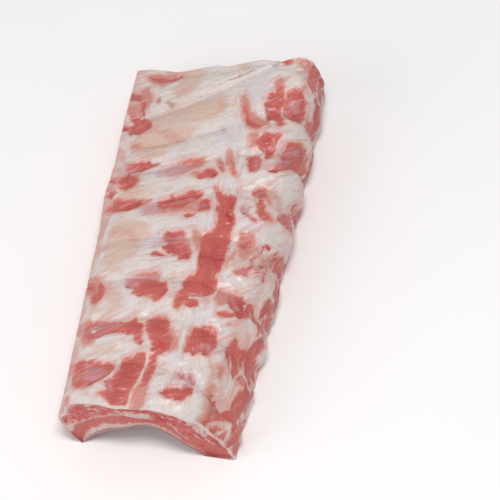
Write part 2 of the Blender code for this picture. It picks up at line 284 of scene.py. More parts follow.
# Each shape is an outline of (s, y) corners, or a stroke: a chain of (s, y, half-width).
# Bare meat between the fat, with one dark red strip of painted shade by the loin wall:
RED = (
    ((9, 50, 0.3), (12.6, 42, 0.8)), ((17.5, 49, 0.3), (20.8, 40, 0.7)),
    ((33, -28.8), (36, -26), (41, -23), (42.4, -26.6), (40, -29.8), (35, -30)),
    ((44, -27, 0.3), (50, -17, 0.5), (56, -9, 0.6), (60, -3, 0.8)),
    ((41, -20, 0.2), (45, -12, 0.3), (49, -7, 0.2)),
    ((50, -29, 0.6), (50.4, -22, 0.4), (52.6, -17, 0.4)),
    ((-51, 120.6, 0.8), (-45, 118.6, 2.2), (-38, 119, 2.2), (-34, 121.4, 0.9)),
    ((-51.5, 100, 0.9), (-51.8, 94, 1.1), (-50, 88, 0.9)),
    ((-62, 109), (-58, 109.5), (-55, 105), (-54.5, 102), (-58, 102.5), (-62, 106)),
    ((-57, 89), (-53, 88.5), (-51, 84.5), (-54, 83), (-57, 86)),
    ((-63, 86.5, 1), (-58, 80, 1.4), (-54, 75, 1.7)),
    ((-55, 84), (-50, 85.5), (-45, 85), (-42, 81), (-41.3, 77.5), (-44, 74), (-48, 72),
     (-52, 73.5), (-55, 77), (-56, 80)),
    ((16.6, 94, 0.3), (18.4, 87, 1.1), (21.6, 79.6, 1.9), (26, 76, 2.4), (29, 75, 1.2)),
    ((36, 104), (38.5, 104), (40, 101), (41, 95), (41, 89), (42.5, 82), (43.5, 76), (41, 75),
     (39.5, 80), (36.5, 81.5), (34, 80), (32, 85), (30.5, 91), (31.5, 96), (32, 100.5),
     (35.5, 101)),
    ((41.5, 101), (46, 102.3), (50, 104.5), (52, 103), (54, 99), (57, 95), (58.5, 91), (57, 87),
     (53, 84), (49, 82), (45.5, 82), (42, 86), (41.4, 90), (41.2, 95)),
    ((54, 128), (60, 127), (72, 122), (72, 104), (62, 107), (56, 109), (51, 111), (53, 117)),
    ((33, 129), (42, 129), (41, 125), (37, 123.8), (34, 125)), ((47, 125, 0.5), (50, 120, 0.6)),
    ((50, 126, 0.7), (53, 121, 0.8)),
    ((30, 66), (32, 68), (36, 69.5), (40, 69.4), (43, 69.6), (42, 66), (41, 60), (40.2, 56),
     (38.6, 53), (37.6, 53), (36.4, 57), (33.4, 59.4), (31, 61), (29.6, 63)),
    ((27.5, 53), (30, 54.5), (33.5, 54), (34.8, 50), (35, 45.5), (33.5, 42), (30, 40.8),
     (28.5, 44), (27, 49)),
    ((1.5, 40), (5, 43), (8, 42.5), (10, 38.5), (8.5, 36), (4, 34.8), (-1, 35), (-2, 37.5)),
    ((40.5, 43, 0.7), (43, 43, 0.9), (45, 45.5, 1)),
    ((44, 45), (45.5, 51), (47, 56), (47, 62), (49, 67), (56, 70.5), (62, 72), (70, 70), (70, 60),
     (62, 55), (55, 50.5), (50, 47.5), (47, 45)),
    ((-14, 49, 0.6), (-6, 50.4, 0.8), (-1, 51.4, 0.5)),
    ((-50, 44), (-48, 47.5), (-43, 48.8), (-36, 49), (-29, 47.3), (-36, 44.6), (-42, 43)),
    ((-51, 36), (-49, 39.4), (-46.5, 40.4), (-46, 34), (-44.6, 39.6), (-41, 39), (-39.8, 34),
     (-41, 29), (-45, 27), (-49, 29)),
    ((-58, 19), (-52, 20.4), (-46, 19.6), (-40, 19.4), (-33, 19), (-35, 14.6), (-39, 11.8),
     (-46, 11.2), (-51, 12), (-56, 14.6)),
    ((-65, 41.5, 0.8), (-59, 38.5, 0.9), (-54, 35, 0.9), (-52.4, 32, 0.7)),
    ((-58, 28.5), (-54, 28), (-52, 25.5), (-55, 24.5), (-58, 26)),
    ((-24, 15.4), (-22, 19.6), (-12, 22.8), (-5, 25.5), (2, 26.2), (3, 22), (-2, 18.6), (-5, 14),
     (-10, 12), (-16, 11.6), (-21, 12)),
    ((4, 20), (9.5, 20), (10.6, 15), (10, 11.5), (5, 10.5), (3.5, 15)),
    ((-4, 9.5), (0, 9.5), (3, 8), (2, 6), (-3, 6)),
    ((12.5, 27), (15, 25.5), (18, 24), (23, 24), (25, 22.5), (25.2, 16), (26, 10), (27.2, 6),
     (26.5, 0), (27, -6), (26.8, -12), (25.8, -20), (26.5, -27), (25, -31), (23.5, -33),
     (24.5, -38), (25, -42), (24, -45.5), (21, -48), (15, -49.5), (11, -49), (9, -52), (8, -56),
     (6, -58.5), (4.5, -56), (4, -50), (5.5, -46), (6, -42), (5.5, -38), (8, -35.5), (12, -33),
     (12.5, -28), (11, -22), (10, -14), (9.5, -8), (11, -5), (15, -3.5), (17, 0), (17, 6),
     (15.8, 13), (14.5, 20)),
    ((9.6, -50.4), (15, -50.6), (18, -52.4), (17, -55.4), (13, -56.8), (10, -55.6)),
    ((34.5, 29), (36, 32), (40, 32), (42.5, 30.5), (42.5, 27), (40.6, 24), (41.6, 20), (43, 15.6),
     (46, 13.4), (48, 10.6), (44, 9.6), (41, 10), (39.5, 14), (38, 18), (37, 23), (35.5, 26)),
    ((50, 13), (52, 17.5), (57, 22), (62, 26), (68, 29), (68, 16), (62, 14), (56, 13)),
    ((34, 10, 0.8), (39, 7.5, 1.1)), ((30.5, 17, 0.5), (31.4, 12, 0.6)),
    ((-13.5, -6), (-10, -4.2), (-5, -3.2), (-1, -4), (0, -9), (-3, -11), (-9, -12), (-12.5, -10)),
    ((-9, -13), (-2, -12), (2, -14), (5.6, -17), (6.4, -21), (5, -25), (1, -25), (-1, -22),
     (-5, -21.6), (-10, -19), (-11, -16)),
    ((-17, -23.3), (-12, -22.8), (-5, -21.8), (-6, -20), (-13, -20.2), (-16, -20.6)),
    ((-27.5, -38.5), (-22, -36.6), (-16, -34.6), (-10.5, -34.6), (-9.6, -39.6), (-5, -40),
     (-3.5, -43), (-2.5, -47), (-2.5, -51), (-5, -53.8), (-9, -53.8), (-9.5, -51), (-14, -51),
     (-18, -52.5), (-21.5, -50.8), (-21.4, -47.4), (-27, -46.6)),
    ((-46, -40), (-42, -45), (-39.5, -50), (-40.6, -55), (-44, -58.5), (-48, -55), (-50, -49)),
    ((-64, -37, 2.6), (-56, -41, 3), (-49, -46, 3.4)),
    ((34, -5, 1.2), (38, -6, 1.6), (36, -10, 1.4)),
    ((28.8, -59), (33, -56.5), (38, -55), (40, -56), (36, -58.5), (31, -59.5)),
    ((37.5, -62, 0.8),),
    ((42.5, -69), (46, -67), (50, -73), (51, -84), (49, -92), (45.6, -92), (43.4, -87), (41, -79)),
    # Painted shade: this dark red strip stands in for the crevice's shade along the loin wall,
    # near the near end.
    ((39.6, -107, 0.6), (40.4, -115, 2), (40.4, -125, 1.6)),
    ((34, -44), (40, -42.5), (46, -44), (45, -52), (42, -58), (38, -54), (35, -51)),
    ((-25, -72), (-20, -68.5), (-16.5, -66), (-15, -70), (-11, -71.5), (-11, -76), (-10.5, -80),
     (-9.5, -86), (-12, -84), (-15, -79), (-20, -80), (-23, -77), (-26, -75)),
    ((-47, -74), (-45, -71), (-38, -70), (-30, -70.4), (-23, -69.6), (-22, -78), (-30, -80),
     (-36, -83), (-42, -84), (-46, -81)),
    ((-9.5, -66), (-6, -64), (-1, -63), (2, -66), (4, -71), (6.5, -77), (8, -81), (7, -87),
     (1, -91), (-2, -89), (-2.5, -84), (-6, -79), (-8, -76), (-9, -71)),
    ((19, -69.5), (22, -68), (27, -66.8), (31, -68), (33, -72), (32.5, -78), (31, -82),
     (29.5, -86), (27, -86.5), (25, -84.5), (23, -87), (21, -88), (19, -86), (16, -86.5),
     (16.5, -82), (17.5, -76), (17.5, -72)),
    ((-46, -98.6), (-38, -98), (-30, -99), (-22.4, -98), (-22, -102.6), (-23.6, -107), (-28, -112),
     (-33, -115.6), (-38, -118), (-42, -117), (-46, -110), (-48, -103)),
    ((-18, -96), (-16, -94.5), (-12, -93), (-8, -91), (-5, -91), (-4.5, -96), (-4.8, -103),
     (-5.5, -109), (-7.5, -114), (-9, -118), (-9, -125.5), (-14, -125.8), (-20, -125.5),
     (-24, -122), (-27, -119.5), (-22, -117.5), (-24, -114), (-24, -111), (-20, -110),
     (-19.5, -106), (-18.5, -101)),
    ((-3.2, -91), (0.5, -90), (1.5, -96), (1.5, -104), (0.5, -108), (0, -112), (-4, -113),
     (-4, -108), (-2.6, -100)),
    ((10.5, -112), (15, -110.5), (20, -110), (22, -107.5), (25.5, -107.5), (25.5, -111),
     (23, -115.5), (21.5, -117.8), (18, -117.8), (12, -118), (8.5, -116.5)),
    ((16, -101.5, 1), (18.5, -102.5, 1.4)), ((23, -101.5, 0.8), (25, -105, 0.9)),
)
# The deepest colour inside the meat, with one stroke of painted shade by the loin wall:
DEEP = (
    ((-51.5, 99, 0.6), (-50, 88, 0.8)), ((-62, 107.5, 1.2), (-57, 104, 1.6)),
    ((-63, 86.5, 1.4), (-54, 75, 2)), ((-53, 75, 1), (-48, 73, 1.2)),
    ((-43, 81, 0.6), (-42.4, 77, 0.9)), ((33, 90, 1.4), (34.6, 84, 1.6)), ((36, 86, 1.6),),
    ((47, 86.5, 1.8), (53, 87, 1.8)), ((53, 62, 3), (60, 66, 3)), ((58, 56, 1.6), (50, 50, 1.4)),
    ((36, 64, 2.6), (37, 60, 2)), ((28.6, 51, 0.9), (28.8, 47, 0.9)),
    ((30.4, 42.2, 0.8), (33, 42.5, 0.8)), ((7.5, 38.6, 1.3), (9, 37, 1)),
    ((42, 43, 0.8), (44, 43.8, 0.8)), ((-39, 46.8, 0.8), (-34, 47.4, 0.7)),
    ((-46.6, 40, 0.7), (-46.8, 34, 0.8)), ((-44.6, 31, 0.9), (-44, 28.4, 1)), ((-56, 26, 1.6),),
    ((-52, 15.5, 1.6),), ((-43, 13.6, 1.4), (-37.5, 17, 1.4)),
    ((-18, 18.6, 0.7), (-10, 20.8, 1), (-4, 23.4, 0.8)), ((-1, 24.8, 0.7), (2, 25.4, 0.6)),
    ((7.4, 17, 2.2), (7.6, 13, 2)), ((23, 20, 1.2), (23.4, 8, 2.2), (24.4, 3, 1.2)),
    ((39, 29, 1.6),), ((60, 20, 2.4), (66, 22, 2.6)), ((19, -12, 0.6), (20, -17, 2.4)),
    ((14, -21, 2.2), (23, -21.6, 3), (22, -27, 2.8), (15, -27, 1.6)),
    ((20, -34, 1.4), (19, -41, 1.8)), ((8, -41, 2),), ((-12, -6, 0.9), (-8, -6.4, 1)),
    ((-8, -16, 1.6), (-4, -19, 1.6)), ((-15, -21.4, 0.9), (-8, -21, 0.9)),
    ((-3.2, -46, 1.3), (-2.6, -51, 1.2)), ((-16, -46, 1.4), (-8, -44, 1.2)),
    # Painted shade: the first stroke here, at s 42 to 43, darkens the crevice along the loin wall.
    ((43, -46, 2.2), (42, -55, 2.2)), ((-14, -73, 1.8), (-18, -74, 1.6)),
    ((-4, -70, 2.6), (-2, -75, 2.4)), ((0, -84, 1.4), (4, -84, 1.6)), ((24, -73.6, 2.6),),
    ((30, -82, 1.2), (28, -85.6, 1)), ((-32, -114.6, 0.8), (-26, -109.6, 0.9)),
    ((-13, -98, 3), (-13, -106, 3.6), (-15, -114, 3.6), (-17, -121, 3)), ((-22, -113, 1),),
    ((9.4, -115.6, 1.2),), ((19, -115.8, 1.6), (23, -110, 1.2)), ((17.6, -102.4, 0.9),),
)
# Paler meat, thin or just under the skin, with one strip of painted shade by the loin wall:
PALE = (
    ((43, -24, 0.8), (52, -12, 1)), ((38, -14, 0.5), (44, -8, 0.5)),
    ((47, -20, 0.6), (50, -26, 0.8)),
    ((14, 98.4), (16.6, 98.4), (19, 94), (20.5, 90), (22.5, 86), (26, 83.5), (30, 81), (33, 79),
     (34, 76), (30, 72), (26, 72), (22, 75), (19.5, 79), (17.5, 84), (15.5, 90), (14.5, 95)),
    ((-54, 121), (-50, 123.4), (-43, 123), (-38, 123.6), (-34, 123.4), (-32, 122), (-34, 119),
     (-37, 117.5), (-38, 115), (-41, 113.4), (-45, 113.8), (-48, 115), (-51, 117)),
    ((-55, 111), (-52, 112), (-49, 106), (-46.5, 101), (-48, 96), (-49, 89), (-52, 87), (-55, 92),
     (-54.5, 100), (-56, 106)), ((-61, 98), (-57, 99), (-55, 90), (-58, 88)),
    ((-51, 64), (-46, 64), (-46, 61), (-51, 61.5)),
    ((34.4, 109.5), (39, 109.5), (40, 101), (35, 101)),
    ((28, 81), (33, 79.6), (35.4, 76), (31, 74)), ((50.5, 107, 1), (50.2, 103, 1.3)),
    ((33, 126, 1.4), (40, 125, 1.6)), ((44, 97, 1.4), (50, 97, 1.4)), ((56, 91, 2.2),),
    ((26.5, 69), (31, 70), (30, 60), (27, 59), (26.5, 64)),
    ((37, 56), (40, 56), (39, 51), (37, 51)),
    ((14.5, 54.5, 1.7), (16.5, 48, 2), (19, 42, 1.8), (22.4, 37, 0.9)),
    ((8.5, 50, 1.5), (11.5, 45, 2.2), (13, 41.5, 1.6)), ((-5, 38.4, 1.4), (0, 38, 2)),
    ((-18, 46), (-16, 48.8), (-12, 50.3), (-5, 51.6), (-1, 52), (-0.4, 49), (-1.6, 44), (-4, 42.5),
     (-7, 41), (-12, 38), (-18, 36.8), (-22, 38), (-24, 41.5), (-21, 44)),
    ((-52, 45), (-50, 48), (-45, 48.8), (-40, 49.2), (-35, 48.8), (-30, 47.6), (-33, 46.2),
     (-38, 44.2), (-42, 43), (-46, 43), (-50, 42.6)),
    ((-51.5, 38), (-48.5, 41.5), (-44, 41.5), (-40, 39), (-38, 34), (-38.6, 29), (-43, 27),
     (-47, 27), (-51.5, 31)), ((-66, 44, 1.6), (-60, 41, 2), (-53, 38, 1.4)),
    ((-62, 33, 2.4), (-55, 31.5, 2.4)), ((-60, 28), (-53, 29), (-51, 25), (-56, 23.5)),
    ((-59, 18), (-53, 20.8), (-46, 21), (-40, 20), (-34, 19.8), (-28, 19.8), (-30, 16),
     (-34, 13.4), (-39, 11.2), (-46, 10.6), (-51, 11.2), (-58, 14)),
    ((-24.5, 14), (-22, 19.8), (-17, 21.2), (-12, 23), (-6, 25.4), (2, 26.4), (3.4, 23.5), (1, 21),
     (3, 19.6), (9.8, 20.4), (11, 16), (10.8, 11), (6, 9.6), (0, 10), (-5, 10), (-12, 9.2),
     (-17, 8.6), (-22, 8.4)), ((10.8, 29, 1.2), (13, 26.5, 1.8)),
    ((13.6, 24, 1.2), (15.4, 16, 1.1), (16.6, 8, 1)),
    ((41, 16), (45, 15), (48, 12.6), (48, 10), (44, 9.2), (40.6, 10)),
    ((43, 28, 1.6), (44, 22, 1.6)), ((-3, -9.6), (3, -10), (5, -14), (2, -15), (-4, -13)),
    ((4, -3), (9.6, -5.4), (10.4, -13), (10.6, -19), (7.4, -14), (4.6, -8)),
    ((33, -1), (40, -1), (42, -6), (40.6, -12), (38, -18.6), (35, -18.6), (33, -13), (31.6, -7)),
    ((31.5, -15, 0.9), (30, -21, 1.1)), ((27.6, -20, 1.2), (28, -26, 1)),
    ((-66, -29), (-60, -32), (-52, -36.6), (-46, -39), (-45, -43), (-41, -45), (-38.6, -50),
     (-39.6, -55), (-43, -58.6), (-48, -56), (-52, -50), (-57, -46.5), (-66, -42)),
    ((27.6, -40.6), (33.4, -40.6), (38, -40), (37, -46), (32, -51), (28, -53.6), (26, -47)),
    ((4, -48), (8, -48.6), (8.6, -56), (6.4, -59.4), (3.6, -57)),
    ((9.6, -49), (14, -50.6), (17, -53), (15, -57), (10, -55.6)),
    ((-15, -52, 1), (-6, -53.4, 1.2)),
    ((-66, -63), (-50, -69.6), (-44, -69.4), (-41.6, -76), (-37, -82), (-37, -87), (-41, -88.6),
     (-45, -86.6), (-49, -80), (-56, -76), (-66, -72)),
    ((-30, 13), (-24, 15), (-21, 9), (-28, 8.4)),
    ((5, -71), (8, -76), (11.4, -80), (11.4, -85.6), (7.6, -89), (5, -86), (7, -79)),
    ((17.4, -70), (19.4, -76), (17.6, -86.6), (15.4, -87), (16, -78)),
    ((-66, -89), (-54, -94), (-48, -99.6), (-43.6, -102.6), (-40.6, -110), (-36, -117.6),
     (-40, -119), (-44, -116), (-48, -108), (-56, -102), (-66, -98)),
    ((-6, -113), (0.4, -112), (0.6, -119), (-1, -128), (-8, -128), (-7, -118)),
    ((-26, -119), (-21, -116.6), (-19, -121), (-22, -124), (-27, -121)),
    ((-50, -123), (-45, -122), (-42, -128), (-51, -128)),
    ((36, -90), (40, -89), (41, -95), (38, -98)),
    # Painted shade: brownish pink along the crevice by the loin wall, near the near end.
    ((36, -103, 1.2), (38, -111, 2.4), (38.4, -121, 3), (39, -128, 3)),
)
# Meat and fat under a bluish membrane, with one soft line of painted crease shade:
MAUVE = (
    ((31.5, 53, 0.8), (32.5, 44, 0.8)), ((5, 17, 1.2), (6.6, 15, 1.4)),
    # Painted shade: the first stroke here is the soft shadow line along the crease at y 101 to
    # 105.
    ((-18, 101, 0.2), (-9, 102.6, 0.8), (0, 105, 0.6)), ((5.5, 76, 0.6), (9, 71.5, 1.4)),
    ((44, 96), (50, 97.4), (52.4, 93), (50, 90), (44.6, 90)), ((43.6, 88, 1.4), (46, 85.6, 1.6)),
    ((-30, 44.4), (-24, 47.4), (-17, 48.6), (-10, 49), (-9, 44), (-12, 40), (-20, 36.4),
     (-26, 35.6), (-29, 38)), ((-40, 39, -0.4), (-32, 41, 0.6)),
    ((-49, 43, 0.8), (-44, 42.4, 0.8)), ((-47, 15, 0.5), (-43.6, 17, 0.7), (-40, 19, 0.5)),
    ((-32.6, 13), (-28.6, 16.6), (-24, 16.4), (-22.6, 12), (-19, 8), (-22, 6), (-27, 7),
     (-31.6, 9)), ((2, 12.6, 1.2), (4, 14, 1)), ((-10, 18.4, 0.6), (-2, 21, 0.6)),
    ((24.6, 23.4, 0.9), (34, 23, 1.1)), ((29.6, 15, 1.8), (35, 12, 1.8)),
    ((20.6, 55.4, 0.9), (25, 54, 1.2)),
    ((44.6, 64, 1.4), (46.6, 59, 1.6), (46, 52, 1.2), (45.4, 47, 1)),
    ((38, 45, 1.2), (41, 45.4, 1.2)), ((32, 47, 1.2), (33, 44.6, 1)),
    ((50, 60, 1.8), (57, 65, 1.8)), ((47.6, 51, 1), (53, 56, 1.4)), ((37, 28, 1.2), (41, 30, 1)),
    ((-23.6, -8.6, 0.7), (-17, -7.4, 0.9)),
    ((-17.4, -17), (-17, -12), (-13, -9.4), (-9, -11), (-12, -14), (-14, -18)),
    ((3.6, -13, 0.8), (5.6, -18, 0.9)), ((-12, -8.6, 1), (-3, -8, 1.2)),
    ((29, -11, 1.2), (28, -16, 1)), ((34, -28.6), (38, -24), (41, -25), (41.6, -28), (38, -29.6)),
    ((-28.6, -38), (-20, -35.6), (-13, -33.8), (-9.6, -34.4), (-9.6, -39.6), (-16, -40),
     (-19, -42), (-20, -45), (-27.4, -46.8), (-28.8, -42)), ((36, -46, 1.6), (40, -50, 1.8)),
    ((12, -48.6, 1.2), (19, -49, 1.6)),
    ((-45, -72), (-36, -70), (-28, -70), (-25, -72), (-30, -75.6), (-36, -77.6), (-42, -79.4)),
    ((-38, -81, 0.6), (-30, -78.6, 0.6)), ((28, -80, 1.6), (30, -84, 1.6)),
    ((22, -84, 1), (26, -80, 0.8)),
    ((-40, -101), (-36, -100.4), (-29, -100.4), (-27, -104.6), (-25, -107), (-27, -110),
     (-31, -112.6), (-36, -113.4), (-39, -109)), ((-22, -112, 1.2), (-20.6, -117, 1.4)),
    ((12, -104), (15, -100.6), (26, -100.6), (26, -106), (21, -109.6), (13, -110)),
    ((33, -92, 0.8), (36, -98, 0.8)),
)
# A pink bloom where meat shows faintly through thin fat, with one strip of painted shade by the
# loin wall:
BLUSH = (
    ((-42, 126, 1.4), (-33, 126, 1.6)), ((-58, 100, 3), (-54, 90, 2.4)),
    ((-43, 102.4, 1), (-41.4, 99.5, 1.6)), ((-29, 105, 1.2), (-22, 107.6, 1.2)),
    ((-34, 99, 0.8), (-31, 96.6, 0.8)), ((-38, 74, 1), (-26, 70, 3.4), (-20, 66, 2.6)),
    ((-48, 62, 1.6), (-30, 63, 1.4)), ((-59, 63, 1.6), (-56, 55, 2), (-52, 50, 1.4)),
    ((0, 96, 0.4), (3, 89, 1)), ((6, 74, 1.2),), ((45, 125, 1.6), (50, 122, 2.6)),
    ((34, 74, 1), (42, 73, 1.4)), ((46, 64, 2.6), (44, 54, 1.6)), ((37, 47, 1.6), (43, 46, 2.4)),
    ((-3, 36, 1.4), (8, 40, 1.6)), ((-58, 47, 2), (-54, 43, 2)), ((-64, 24, 4), (-57, 21, 2.6)),
    ((-62, 10, 4), (-56, 4, 4), (-62, -6, 4)), ((-23, 8.4, 1.2), (-10, 7.8, 1.2), (-4, 8, 1.2)),
    ((44, 32, 2.6), (50, 27, 2.8), (52, 20, 2)), ((-46, -5, 2), (-34, -6, 2.2), (-31, -10, 1.6)),
    ((-60, -12, 3.6), (-48, -16, 2)), ((44, -12, 2.4), (50, -16, 2.2)),
    ((46, -22, 1.6), (48, -27, 1.6)), ((-46, -40, 1.4), (-38, -44, 1.4), (-38, -52, 1.6)),
    ((-62, -56, 4), (-54, -60, 3)), ((12, -48, 2.4), (22, -50, 1.6)),
    ((-62, -86, 6), (-54, -84, 4.6), (-48, -94, 3)),
    ((-62, -112, 6), (-54, -112, 4), (-48, -118, 2.6)), ((-48, -126, 3.4), (-58, -124, 4)),
    ((-33, -122, 0.8),), ((30, -89, 1), (34, -93, 1.4)),
    # Painted shade: the first stroke here tints the crevice by the loin wall.
    ((37, -104, 3), (38, -116, 3.6), (38, -125, 3)), ((-3, -120, 2.4),),
)
# Beige fat stretched over the ribs, with one strip of painted shade by the loin wall:
TAN = (
    ((-33, 127), (-18, 128), (-16, 118), (-17, 108), (-22, 102), (-30, 100), (-34, 106),
     (-32, 115)), ((8, 127, 3), (14, 121, 2)),
    ((-37, 93), (-20, 97), (-10, 99), (0, 101), (6, 98), (7, 91), (4, 85), (0, 81), (-10, 79),
     (-20, 77), (-38, 75), (-42, 80), (-40, 88)),
    ((-47, 77), (-38, 76), (-15, 79), (-12, 74), (-14, 68), (-18, 64), (-25, 60), (-35, 57),
     (-46, 54), (-50, 60), (-48, 70)), ((-40, 52, 2), (-28, 54, 2.4)),
    ((-44, 24, 1.6), (-28, 26, 2), (-18, 27, 1.4)),
    ((-48, 2), (-38, 4), (-28, 2), (-22, -4), (-26, -14), (-24, -22), (-30, -28), (-44, -32),
     (-48, -20), (-50, -8)), ((-44, -33, 2), (-34, -34, 2)),
    ((-34, -50, 4.4), (-30, -60, 4.6), (-36, -66, 2.4)), ((-1.4, -36, 1.2), (2, -50, 1.4)),
    ((-44, -62, 2.6), (-36, -64, 2)), ((-34, -92, 2.4), (-26, -90, 2.8)),
    ((6, -94, 1), (8, -104, 1.2)), ((20, 28.6, 1), (28, 29, 0.8)),
    # Painted shade: the first stroke here browns the wall where it turns down into the crevice.
    ((33, -97, 2.6), (36, -104, 3.4), (37, -116, 4.6), (37, -125, 4)), ((-52, 24, 2),),
)
# Brown: mostly painted shade, in hollows near the sawn side and in the crevice along the loin
# wall, with a few brown strands in the meat:
BROWN_AND_SHADE = (
    ((-60, 108, 0.6), (-56, 104, 1)), ((-55, 75.4, 1),), ((-36, 98, 0.6), (-32, 96, 0.6)),
    ((39, -108, 1), (41, -118, 1.6)), ((31, 12, 0.6), (34, 16, 0.6)),
)
# Painted shade in the creases between the muscles, and a few dark spots in the meat:
CREASE_SHADE_AND_DARK_SPOTS = (
    ((-8, 107, -0.3), (-1, 110.4, 0), (5, 112.5, 0.3), (10, 114.6, 0.4), (14, 117, 0.4),
     (18, 119.8, 0.2)), ((30.6, 90.6, 0.5), (32, 85, 0.7), (34, 80.4, 0.5)),
    ((-47, 41.4, 0.6), (-43, 42.8, 0.6), (-38, 44.6, 0.5), (-32, 46.5, 0.4), (-28, 47, 0.2)),
    ((-46.6, 41, 0.3), (-46.9, 35, 0.4)), ((8.6, 38, 0.8),), ((41, 42.8, 0.4), (44, 43.4, 0.5)),
    ((-37.6, 17.6, 0.7), (-36, 18.4, 0.4)), ((-38, 19.4, 0.2), (-28, 20.1, 0.1)),
    ((22, 9.4, 0.6), (24, 8.4, 0.6), (26, 6.6, 0.4)),
    ((11.5, -20.4, 0.3), (14, -21.6, 0.4), (17, -20.4, 0.3), (21, -22.6, 0.3), (25, -22, 0.3)),
    ((-13.4, -5.8, 0.5), (-10, -4.6, 0.3)), ((-4, -22.6, 0.9), (-3.4, -21.6, 0.6)),
    ((-12, -13, 0.4), (-14, -12, 0.4)), ((41, -17, 0.3), (42.6, -20, 0.4), (41, -24.4, 0.4)),
    ((44, -24, 0.3), (47, -20, 0.3), (51, -17.4, 0.5), (55, -12, 0.5)),
    ((50.4, -22, 0.4), (50.2, -28, 0.6)), ((-27.4, -46.4, 0.5), (-24, -46.8, 0.4)),
    ((-44, -99.4, 0.3), (-36, -98.8, 0.3)),
    ((-33, -114.8, 0.3), (-29, -112.4, 0.3), (-25, -109, 0.3)), ((8.8, -115.6, 0.6),),
    ((28.4, -85.8, 0.5),), ((-49, 86.6, 0.6),),
)
# Bright spots of blood:
BLOOD = (
    ((49.4, -4.8, 1.3), (51.8, -4, 1.7)), ((-41.8, 101, 0.5), (-41.4, 98.4, 0.7)),
    ((1.4, -83, 0.7), (3.4, -86, 1)), ((-33.4, 122.4, 0.6),),
    ((13, -21, 0), (17, -23, 0.3), (24, -22.6, 0.2)), ((22, -26, 0.2), (24, -28, 0)),
    ((22.6, 9, 0.6), (25.4, 5, 0.6)), ((9, 114.4, 0.3),),
    ((-64, 41, 0.1), (-58, 38, 0.3), (-53.4, 34.4, 0.3)), ((3.4, -22, 1.2),),
)
# Threads and flecks of white fat across the meat, and a few painted highlights: small white glints
# on the wet skin:
WHITE_FAT_AND_GLINTS = (
    ((-4.2, -91.6, 0.6), (-4.4, -100, 0.6), (-5, -108, 0.7), (-7, -114, 0.6)),
    ((-8, -117, 0.5), (-8.4, -126, 0.6)),
    ((-12.6, -13.6, 0.5), (-14.6, -17, 0.6), (-13, -19.4, 0.6), (-5, -22.9, 0.4)),
    ((-34, 45.4, 0.5), (-26, 47.6, 0.5), (-18, 49, 0.5), (-15, 50.6, 0.3)),
    ((40.4, 91, 0.3), (41.6, 85, 0.3)), ((31.4, 89.2, 0.2), (36, 89.4, 0.2)),
    # Painted highlights: the white dots at (24, 9.8) and (-40, -78) on this line, and at (-14,
    # -85) on the next, are glints.
    ((36.4, 27, 0.3), (38.2, 21, 0.3)), ((24, 9.8, 0.4),), ((-40, -78.2, 1), (-39, -78.6, 1)),
    ((-14.4, -85.4, 1), (-12.6, -86, 0.8)), ((-20, -78, 0.3), (-21, -81, 0.4)),
    ((12, -50.4, 0.5), (18, -49.6, 0.5)), ((14, -107.4, 0.6), (20, -106, 0.6)),
    ((-60, 92, 0.5), (-56, 83, 0.6)), ((-62, 72, 1.4), (-56, 64, 1.6), (-51, 52, 1.2)),
    ((-54, 24.4, 0.8), (-49, 23.6, 0.8)), ((-62, -26, 0.8), (-52, -31, 0.6)),
    ((-56, -62, 1.6), (-47, -67, 1.2)), ((-62, -75, 1.2), (-55, -76, 0.8)),
    ((-46, -120, 1.2), (-58, -121, 1)), ((45, 112, 1), (48, 106, 0.8)),
    ((52, 103, 0.3), (54, 101, 0.3)), ((46, 80, 0.8), (51, 76, 1.4)),
    ((-46, 110, 0.6), (-43, 105, 1)),
)
# Where the loin-side wall starts: (y, s) from the far cut.
WALL_START = ((127, 54.5), (120, 54), (112, 51.6), (107, 50.6), (102, 54), (95, 59), (88, 61),
              (78, 59), (70, 62), (60, 64), (48, 66), (36, 67), (20, 68), (8, 65), (-6, 60),
              (-14, 55), (-20, 51.5), (-28, 51.5), (-36, 48), (-42, 46.5), (-50, 45), (-58, 43),
              (-66, 40.5), (-88, 40.5), (-98, 42), (-112, 42.5), (-127, 44))


# Shapes with torn edges, and finer ones with frayed edges: the size of the noise that shakes
# them, its reach and its seed.
TORN = (6.0, 1.0, 11)
FRAYED = (3.0, 0.4, 31)
BROAD_SHAPES = {"red": RED, "deep": DEEP, "mauve": MAUVE, "pale": PALE, "blush": BLUSH,
                "tan": TAN, "brown_and_shade": BROWN_AND_SHADE}
FINE_SHAPES = {"dark_and_crease_shade": CREASE_SHADE_AND_DARK_SPOTS, "blood": BLOOD, "white_and_glints": WHITE_FAT_AND_GLINTS}
FIELDS = (*BROAD_SHAPES, *FINE_SHAPES, "wall")
FIELD_LIMIT = 8.0
BLANK = -9.0  # a field's value where it has nothing to say
FAR_OFF = 99.0
RIB_PITCH = 26.0


def rounded(corners):
    """An outline with its corners cut."""
    cut = []
    for (s0, y0), (s1, y1) in zip(corners, corners[1:] + corners[:1]):
        for share in (CORNER_CUT, 1 - CORNER_CUT):
            cut.append((s0 + (s1 - s0) * share, y0 + (y1 - y0) * share))
    return tuple(cut)


def to_segment(s, y, start, end):
    """Each point's distance from a segment, and its place along it from 0 to 1."""
    ds, dy = end[0] - start[0], end[1] - start[1]
    along = np.clip(((s - start[0]) * ds + (y - start[1]) * dy) / max(ds * ds + dy * dy, 1e-6),
                    0, 1)
    return np.hypot(s - start[0] - along * ds, y - start[1] - along * dy), along


